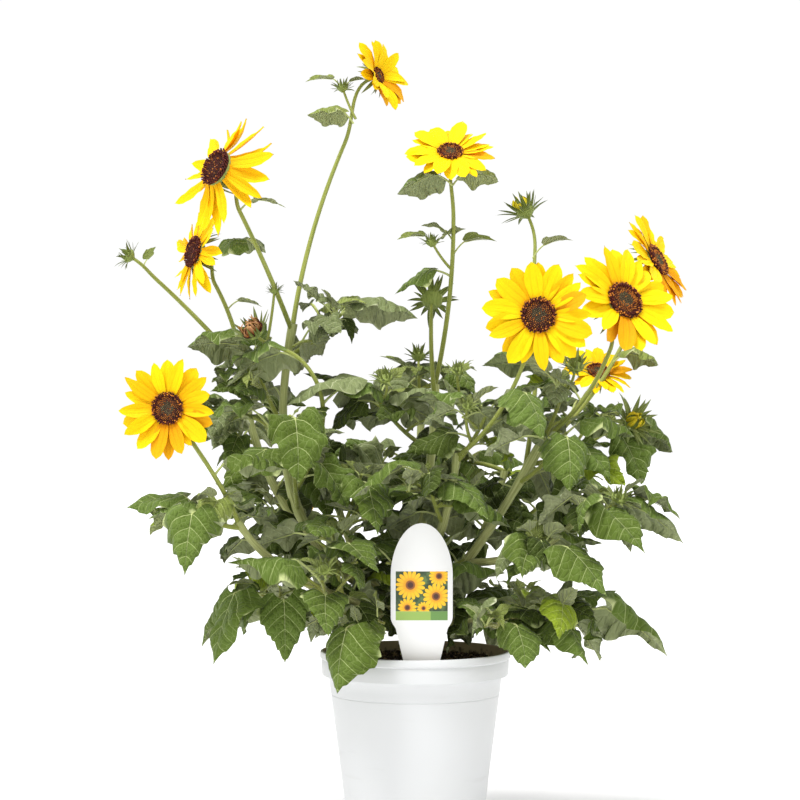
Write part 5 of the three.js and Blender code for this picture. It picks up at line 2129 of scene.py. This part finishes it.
    @staticmethod
    def hair() -> Mould:
        """Returns one hair: a slim spike 1 high on a base of radius 1."""
        bm = bmesh.new()
        made = bmesh.ops.create_cone(bm, cap_ends=True, segments=3, radius1=1, radius2=0, depth=1)
        bmesh.ops.translate(bm, vec=(0, 0, 0.5), verts=made["verts"])
        return Mould.cast(bm)


@dataclass
class Foliage:
    """The leaf blades, joined by the part of the crown that they stand in."""

    growth: Growth
    form_count: int = 14
    young_forms: tuple[Blade, ...] = (
        Blade(seed=11, columns=6, rows=12, width=0.56, lobe=0.04, fold=0.4, wave=0.05, curl=0),
        Blade(seed=12, columns=6, rows=12, width=0.66, lobe=0.08, fold=0.28, wave=0.08, curl=0.12),
        Blade(seed=13, columns=6, rows=12, width=0.46, lobe=0.02, fold=0.6, wave=0.03, curl=0),
    )

    def build(self) -> None:
        """Makes the big leaves in four groups and the young leaves in one."""
        moulds = [form.mould() for form in self.forms()]
        for group in ("left", "centre", "right", "back"):
            names = [shoot.name for shoot in LEAFY_SHOOTS if self.group_of(shoot.tip) == group]
            leaves = [leaf for leaf in self.growth.leaves if self.group_of(leaf.base) == group]
            self.join(f"leaves_{group}", names, leaves, moulds)
        self.join("young_leaves", (), self.growth.young, [form.mould() for form in self.young_forms])

    def join(self, name: str, nodes: Sequence[str], leaves: Iterable[Leaf],
             moulds: Sequence[Mould]) -> None:
        """Makes one piece of leaves.

        Args:
            name: Name of the piece.
            nodes: Solids that it stands for.
            leaves: What is joined.
            moulds: Shapes that the leaves take in turn.
        """
        spray = Spray()
        for leaf in leaves:
            mould = moulds[leaf.form % len(moulds)]
            spray.add(mould, leaf.seat().lay(mould.verts), 2 * leaf.tone.value)
        Piece(name, "leaves", self.finishes(), nodes).join(spray)

    def forms(self) -> list[Blade]:
        """Returns blades that differ in width, lobes, teeth, folds and waves."""
        draw = Seeds(57)
        return [
            Blade(
                seed=number + 1, width=draw.within(0.76, 0.26), lobe=draw.within(0.15, 0.13),
                point=draw.within(1.02, 0.44), teeth=draw.within(0.05, 0.05),
                fold=draw.within(-0.1, 0.8), curl=draw.within(0.0, 0.5),
                wave=draw.within(0.06, 0.1), waves=draw.within(1.0, 1.6),
            )
            for number in range(self.form_count)
        ]

    @staticmethod
    def group_of(tip: Sequence[float]) -> str:
        """Returns the part of the crown that a point stands in.

        Args:
            tip: The point.

        Returns:
            Name of the part.
        """
        if tip[1] > 60:
            return "back"
        if tip[0] < -60:
            return "left"
        return "centre" if tip[0] < 66 else "right"

    @staticmethod
    def finishes() -> list[LeafSkin]:
        """Returns upper and under skin of each tone, in the order of the tones."""
        skins = {
            Tone.MID: ((0.116, 0.176, 0.032), (0.085, 0.128, 0.017), (0.52, 0.58, 0.26)),
            # Painted shade for leaves deep or low in the crown.
            Tone.DARK: ((0.06, 0.088, 0.012), (0.038, 0.058, 0.007), (0.34, 0.4, 0.16)),
            # Grey-green bloom, partly painted light for the upper and outer crown.
            Tone.GREY: ((0.21, 0.25, 0.105), (0.145, 0.18, 0.065), (0.62, 0.66, 0.42)),
            # Painted sunlight and backlight.
            Tone.SUNLIT: ((0.27, 0.36, 0.022), (0.18, 0.25, 0.015), (0.6, 0.68, 0.22)),
            Tone.YOUNG: ((0.3, 0.36, 0.09), (0.2, 0.25, 0.05), (0.58, 0.62, 0.3)),
        }
        made = []
        for tone, (blade, shade, vein) in skins.items():
            under = tuple(0.4 * a + 0.6 * b for a, b in zip(blade, (0.5, 0.54, 0.3)))
            name = f"leaf_{tone.name.lower()}"
            made.append(LeafSkin(name, blade, shade, vein))
            made.append(LeafSkin(name + "_under", under, tuple(0.85 * c for c in under),
                                 (0.56, 0.6, 0.36), 0.75, 0.15))
        return made


# ------------------------------------------------------------------ blooms, buds and the spent head


class RayTone(Enum):
    """Colour of a ray. The orange tone is painted shade, for rays on a bloom's shaded side."""

    LEMON = 0
    GOLD = 1
    ORANGE = 2
    BROWN = 3
    CLOSED = 4


def whorl(facing: Array, count: int, draw: Seeds,
          first: float = 0.0) -> Iterator[tuple[int, float, Array]]:
    """Yields the number, turn and direction of parts that stand unevenly round a head.

    Args:
        facing: Way that the head faces.
        count: How many parts.
        draw: Source of the draws, asked once for each part.
        first: Where the first one stands, in shares of the gap between two.
    """
    right, up = axes(facing)
    for number in range(count):
        turn = (number + first + draw.around(0.3)) / count * math.tau
        yield number, turn, right * math.cos(turn) + up * math.sin(turn)


@dataclass
class FlowerHeads:
    """All flower heads: rays, discs of florets, bracts and the green cups behind them."""

    growth: Growth
    florets: int = 300
    bract_count: int = 20
    rays: Spray = field(default_factory=Spray)
    florets_spray: Spray = field(default_factory=Spray)
    greens: Spray = field(default_factory=Spray)

    def build(self) -> None:
        """Makes every head and joins each kind of part."""
        self.ray_moulds = [ray.mould() for ray in (
            Ray(seed=1), Ray(seed=2, width=0.5, notch=0.05), Ray(seed=3, width=0.38, tip=1.7),
            Ray(seed=4, width=0.48, notch=0.09, tip=3.0),
            Ray(seed=5, width=0.42, trough=0.9, tip=1.4), Ray(seed=6, width=0.46, tip=2.6),
            Ray(seed=7, width=0.3, trough=0.8, tip=1.5), Ray(seed=8, width=0.24, tip=1.3),
        )]
        self.bract_mould = Sheet(seed=1).mould()
        self.beads = self.bead_moulds()
        self.cup_mould = self.cup()
        for number, (shoot, middle, facing) in enumerate(self.growth.blooms):
            if shoot.head is Head.SPENT:
                self.spent(shoot, middle, facing, Seeds(number + 3100))
            else:
                self.bloom(shoot, middle, facing, Seeds(number + 3000))
        for number, bud in enumerate(self.growth.buds):
            self.bud(*bud, Seeds(number + 3200))
        names = [shoot.name for shoot in FLOWER_SHOOTS]
        Piece("rays", "blooms", self.ray_finishes(), names).join(self.rays)
        florets = [
            MottledSkin("floret_maroon", (0.05, 0.008, 0.006), (0.13, 0.02, 0.012), 700),
            MottledSkin("floret_rust", (0.34, 0.08, 0.012), (0.78, 0.3, 0.035), 800),
            MottledSkin("floret_grey", (0.055, 0.05, 0.02), (0.2, 0.18, 0.08), 900),
        ]
        Piece("disc_florets", "blooms", florets).join(self.florets_spray, 60)
        greens = [
            BractSkin("bract_green", (0.19, 0.24, 0.045), (0.095, 0.125, 0.025), (0.42, 0.47, 0.2)),
            BractSkin("bract_under", (0.25, 0.3, 0.07), (0.14, 0.175, 0.04), (0.44, 0.5, 0.22)),
            StemSkin("head_cup_green", (0.32, 0.38, 0.1), (0.18, 0.24, 0.05), (0.1, 0.06, 0.03), 0.01),
            MottledSkin("disc_bed", (0.03, 0.012, 0.006), (0.06, 0.02, 0.01), 400),
        ]
        Piece("bracts_and_cups", "green_stem", greens).join(self.greens, 60)

    @staticmethod
    def ray_finishes() -> list[RaySkin]:
        """Returns front and back skin of each ray tone, in the order of the tones."""
        skins = {
            RayTone.LEMON: ((0.86, 0.46, 0.002), (0.94, 0.63, 0.002), (0.96, 0.67, 0.003)),
            RayTone.GOLD: ((0.84, 0.36, 0.002), (0.92, 0.53, 0.002), (0.94, 0.6, 0.003)),
            # Painted shade for rays on a bloom's shaded side.
            RayTone.ORANGE: ((0.62, 0.2, 0.002), (0.8, 0.34, 0.003), (0.86, 0.44, 0.005)),
            RayTone.BROWN: ((0.05, 0.014, 0.003), (0.3, 0.1, 0.014), (0.66, 0.4, 0.1)),
            RayTone.CLOSED: ((0.5, 0.48, 0.02), (0.72, 0.64, 0.015), (0.8, 0.68, 0.02)),
        }
        made = []
        for tone, colours in skins.items():
            dulled = [tuple(c * f for c, f in zip(colour, (0.92, 0.86, 1.6))) for colour in colours]
            made.append(RaySkin(f"ray_{tone.name.lower()}", *colours))
            made.append(RaySkin(f"ray_{tone.name.lower()}_back", *dulled))
        return made

    @staticmethod
    def bead_moulds() -> list[Mould]:
        """Returns the florets: tall and open, pointed, low and closed, and a tall one's tip."""
        moulds = []
        for sides, top, height in ((5, 0.75, 2.6), (4, 0.12, 2.4), (4, 0.5, 0.9)):
            bm = bmesh.new()
            made = bmesh.ops.create_cone(bm, cap_ends=True, segments=sides, radius1=0.6, radius2=top,
                                         depth=height)["verts"]
            bmesh.ops.translate(bm, vec=(0, 0, height / 2 - 0.3), verts=made)
            moulds.append(Mould.cast(bm))
        bm = bmesh.new()
        bmesh.ops.create_icosphere(bm, subdivisions=1, radius=0.8)
        bmesh.ops.translate(bm, vec=(0, 0, 2.3), verts=bm.verts)
        return [*moulds, Mould.cast(bm)]

    @staticmethod
    def cup() -> Mould:
        """Returns a head's body, 1 in radius and facing +Z: a rounded cup under a low dome."""
        profile = [(0.0, -0.78), (0.2, -0.76), (0.3, -0.66), (0.62, -0.5), (0.92, -0.28), (1.02, -0.06),
                   (0.99, 0.02)]
        profile += [(share, FlowerHeads.dome(share)) for share in (0.92, 0.75, 0.55, 0.35, 0.18, 0.0)]
        bm = lathe(profile, 20, 1e-4)
        layer = bm.loops.layers.uv.verify()
        for face in bm.faces:
            face.material_index = 1 if face.calc_center_median().z > 0.02 else 0
            for corner in face.loops:
                corner[layer].uv = (corner.vert.co.x * 0.5 + 0.5, corner.vert.co.z)
        return Mould.cast(bm)

    @staticmethod
    def dome(share: float) -> float:
        """Returns the height of a disc's bed, over its radius, at a share of the radius."""
        return 0.04 + 0.24 * (1 - share**2) - 0.14 * math.exp(-((share / 0.36) ** 2))

    def add_cup(self, middle: Array, facing: Array, radius: float, depth: float = 0) -> None:
        """Adds the green body of a head, all green and of its own depth for a bud.

        Args:
            middle: Middle of the head.
            facing: Way that it faces.
            radius: Radius of the body.
            depth: A bud's depth over its radius; 0 for a bloom.
        """
        frame = np.array((*axes(facing), facing * (depth or 1.0))) * radius
        mould = replace(self.cup_mould, kinds=self.cup_mould.kinds * 0) if depth else self.cup_mould
        self.greens.add(mould, middle + mould.verts @ frame, 2)

    def add_bract(self, seat: Seat) -> None:
        """Adds a bract."""
        self.greens.add(self.bract_mould, seat.lay(self.bract_mould.verts))

    def add_ray(self, mould: Mould, breadth: float, seat: Seat, tone: RayTone) -> None:
        """Adds a ray, at a share of its mould's width."""
        self.rays.add(mould, seat.lay(mould.verts * (breadth, 1, 1)), 2 * tone.value)

    def disc(self, middle: Array, facing: Array, radius: float, ripe: bool, draw: Seeds) -> None:
        """Packs a disc with florets in the spiral of sunflower heads.

        Args:
            middle: Middle of the disc.
            facing: Way that it faces.
            radius: Its radius.
            ripe: Whether all florets are open and maroon.
            draw: Source of the draws.
        """
        right, up = axes(facing)
        for number in range(self.florets):
            share = math.sqrt((number + 0.5) / self.florets)
            turn = math.radians(number * GOLDEN_TURN)
            out = right * math.cos(turn) + up * math.sin(turn)
            place = middle + (out * share * 0.97 + facing * self.dome(share)) * radius
            if share > 0.76:
                form, kind, size = 0, 0, 0.062
            elif share > 0.44:
                form, kind, size = 1, (1 if draw() < 0.8 else 0), 0.055
            else:
                form, kind, size = 2, (2 if draw() < 0.85 else 1), 0.06
            if ripe:
                kind = 1 if draw() < 0.1 else 0
            lean = unit(facing + out * (0.75 * share**2 + draw.around(0.18)) + up * draw.around(0.12))
            aside = unit(np.cross(lean, out))
            swell = size * radius * draw.within(0.85, 0.4)
            frame = np.array((np.cross(aside, lean), aside, lean)) * swell
            self.florets_spray.add(self.beads[form], place + self.beads[form].verts @ frame, kind)
            if form == 0:
                tip = 1 if draw() < (0.08 if ripe else 0.35) else 0
                self.florets_spray.add(self.beads[3], place + self.beads[3].verts @ frame, tip)

    def bloom(self, shoot: FlowerShoot, middle: Array, facing: Array, draw: Seeds) -> None:
        """Makes one open bloom.

        Args:
            shoot: The flower shoot.
            middle: Middle of the head.
            facing: Way that it faces.
            draw: Source of the draws.
        """
        reach = shoot.size / 2
        radius = reach * shoot.disc
        self.add_cup(middle, facing, radius)
        self.disc(middle, facing, radius, shoot.ripe, draw)
        moulds = self.ray_moulds[2::2] if shoot.ripe else self.ray_moulds[:6]
        for number, turn, out in whorl(facing, shoot.rays, draw):
            front = number % 2 == 0
            length = (reach - radius * 0.86) * draw.within(0.9, 0.17) * (1.0 if front else 0.96)
            lift = shoot.lift * (1.15 if front else 0.5) + draw.around(14 if shoot.ripe else 9)
            seat = Seat(
                origin=middle + out * radius * 0.86 + facing * radius * (0.02 if front else -0.06),
                ahead=out, above=facing, length=length, pitch=lift, bend=-lift * 1.1 + draw.around(20),
                roll=draw.around(12), twist=draw.around(26), sway=draw.around(12),
            )
            mould = moulds[int(draw() * len(moulds)) % len(moulds)]
            self.add_ray(mould, 0.8 if shoot.ripe else 1, seat, self.tone(shoot, turn, draw))
        for number, _, out in whorl(facing, self.bract_count, draw):
            self.add_bract(Seat(
                origin=middle + out * radius * 0.8 - facing * radius * (0.16 + 0.26 * (number % 2)),
                ahead=out, above=-facing, length=reach * draw.within(0.28, 0.2),
                pitch=14 + 24 * (number % 2) + max(0.0, -shoot.lift) + draw.around(10),
                bend=draw.within(-4, 44), roll=draw.around(10), twist=draw.around(20),
            ))

    @staticmethod
    def tone(shoot: FlowerShoot, turn: float, draw: Seeds) -> RayTone:
        """Deals a ray's tone out by its turn round the face, with painted shade in orange and more gold on
        the bloom's shaded side.

        Args:
            shoot: The flower shoot.
            turn: The ray's turn, in radians.
            draw: Source of the draws.

        Returns:
            The tone.
        """
        # Rays on this side are painted in shade: orange, and more often gold than elsewhere.
        shade_side = math.cos(turn - math.radians(shoot.shade_turn)) > 0.45
        chance = draw()
        if shoot.ripe:
            return RayTone.LEMON if chance < 0.15 else RayTone.GOLD
        if shade_side and chance < shoot.gold_and_shade:
            return RayTone.ORANGE
        return RayTone.GOLD if chance < shoot.gold_and_shade * (1.6 if shade_side else 0.7) else RayTone.LEMON

    def bud(self, middle: Array, facing: Array, size: float, opening: float, draw: Seeds) -> None:
        """Makes a bud: a green body wrapped in spiky bracts.

        Args:
            middle: Middle of the bud.
            facing: Way that it faces.
            size: Width over its bracts.
            opening: How far its yellow rays show, from 0 to 1.
            draw: Source of the draws.
        """
        radius = size * (0.27 - 0.05 * opening)
        self.add_cup(middle, facing, radius, 1.25)
        if opening:
            for out in self.round(facing, 13, draw):
                seat = Seat(origin=middle + out * radius * 0.8, ahead=out, above=facing,
                            length=radius * (1.5 + 0.6 * opening), pitch=72 + draw.around(10),
                            bend=74 + draw.around(26), roll=draw.around(40), twist=draw.around(50))
                self.add_ray(self.ray_moulds[2], 0.66, seat, RayTone.CLOSED)
        whorls = ((0.8, 0.0, 80, 34, 0.36), (0.9, 0.16, 52, -22, 0.44), (0.9, 0.34, 20, -18, 0.4))
        for start, back, lift, bend, share in whorls:
            for out in self.round(facing, 10, draw):
                self.add_bract(Seat(
                    origin=middle + (out * start - facing * back) * radius, ahead=out, above=facing,
                    length=size * share * draw.within(0.85, 0.4) * (1 + 0.4 * opening),
                    pitch=lift * (1 - 0.5 * opening) + draw.around(10),
                    bend=bend * (1 - opening) + draw.around(24), roll=180 + draw.around(10),
                    twist=draw.around(24), sway=draw.around(16),
                ))

    @staticmethod
    def round(facing: Array, count: int, draw: Seeds) -> list[Array]:
        """Returns directions round a head from a drawn start, all drawn before they are used."""
        return [out for _, _, out in whorl(facing, count, draw, draw())]

    def spent(self, shoot: FlowerShoot, middle: Array, facing: Array, draw: Seeds) -> None:
        """Makes a withered head: brown curled rays over a dark disc and green bracts.

        Args:
            shoot: The flower shoot.
            middle: Middle of the head.
            facing: Way that it faces.
            draw: Source of the draws.
        """
        radius = shoot.size * 0.36
        self.add_cup(middle, facing, radius)
        self.disc(middle, facing, radius * 0.9, True, draw)
        for out in self.round(facing, 28, draw):
            seat = Seat(origin=middle + out * radius * draw.within(0.5, 0.4), ahead=out, above=facing,
                        length=shoot.size * draw.within(0.34, 0.2), pitch=60 + draw.around(20),
                        bend=100 + draw.around(60), roll=draw.around(40), twist=draw.around(120))
            self.add_ray(self.ray_moulds[4], 0.5, seat, RayTone.BROWN)
        for out in self.round(facing, 18, draw):
            self.add_bract(Seat(
                origin=middle + out * radius * 0.9 - facing * radius * 0.3, ahead=out, above=facing,
                length=shoot.size * draw.within(0.42, 0.2), pitch=60 + draw.around(22),
                bend=24 + draw.around(30), roll=180.0, twist=draw.around(24),
            ))


# ------------------------------------------------------------------ studio


@dataclass
class Studio:
    """Camera at the view's angle, pale floor and soft lights."""

    camera_place: Triple = (-0.0132, -2.0, 0.387)
    lens: float = 103.68
    floor_half: float = 12000.0
    sun_power: float = 2.9
    sun_breadth: float = 20.0
    sun_from: Triple = (-0.34, -0.42, 1.2)
    sky_power: float = 1.02

    def build(self) -> None:
        """Makes camera, floor, lights and surroundings."""
        scene = bpy.context.scene
        camera = bpy.data.cameras.new("camera")
        camera.lens = self.lens
        camera.sensor_width = 36.0
        scene.camera = self.place("camera", camera)
        scene.camera.location = self.camera_place
        scene.camera.rotation_euler = (math.pi / 2, 0, 0)
        bm = bmesh.new()
        bmesh.ops.create_grid(bm, x_segments=4, y_segments=4, size=self.floor_half)
        floor = self.place("floor", mesh_of(bm, "floor"))
        floor.data.materials.append(Floor().material())
        floor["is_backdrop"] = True
        sun = bpy.data.lights.new("key", "SUN")
        sun.energy, sun.angle = self.sun_power, math.radians(self.sun_breadth)
        lamp = self.place("key", sun)
        lamp.rotation_euler = Vector(self.sun_from).to_track_quat("Z", "Y").to_euler()
        scene.world = bpy.data.worlds.new("studio")
        scene.world.use_nodes = True
        sky = scene.world.node_tree.nodes["Background"]
        sky.inputs["Color"].default_value = (1, 1, 1, 1)
        sky.inputs["Strength"].default_value = self.sky_power
        scene.view_settings.view_transform = "Standard"

    @staticmethod
    def place(name: str, data: bpy.types.ID) -> bpy.types.Object:
        """Puts an object in the scene.

        Args:
            name: Name of the object.
            data: What it shows.

        Returns:
            The object.
        """
        made = bpy.data.objects.new(name, data)
        bpy.context.scene.collection.objects.link(made)
        return made


# ------------------------------------------------------------------ the whole


def corners(bounds: Iterable[Iterable[float]]) -> list[list[float]]:
    """Returns a box's two corners as plain lists."""
    return [[float(value) for value in corner] for corner in bounds]


def main() -> None:
    """Builds the studio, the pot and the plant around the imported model."""
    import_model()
    solid_box = corners(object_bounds())
    Studio().build()
    pot_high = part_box("pot")[1]
    mix_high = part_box("potting_mix")[1]
    NurseryPot(rim_radius=pot_high[0] / MM, height=pot_high[2] / MM).build()
    PottingMix(edge_radius=mix_high[0] / MM + 1.0, crown=mix_high[2] / MM).build()
    PlantLabel().build()
    growth = Growth()
    growth.grow()
    StemWork(growth).build()
    Foliage(growth).build()
    FlowerHeads(growth).build()
    dressed_box = corners(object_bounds())
    log.info("size: %s, dressed: %s", solid_box, dressed_box)


if __name__ == "__main__":
    logging.basicConfig(level=logging.INFO, format="%(name)s: %(message)s")
    main()
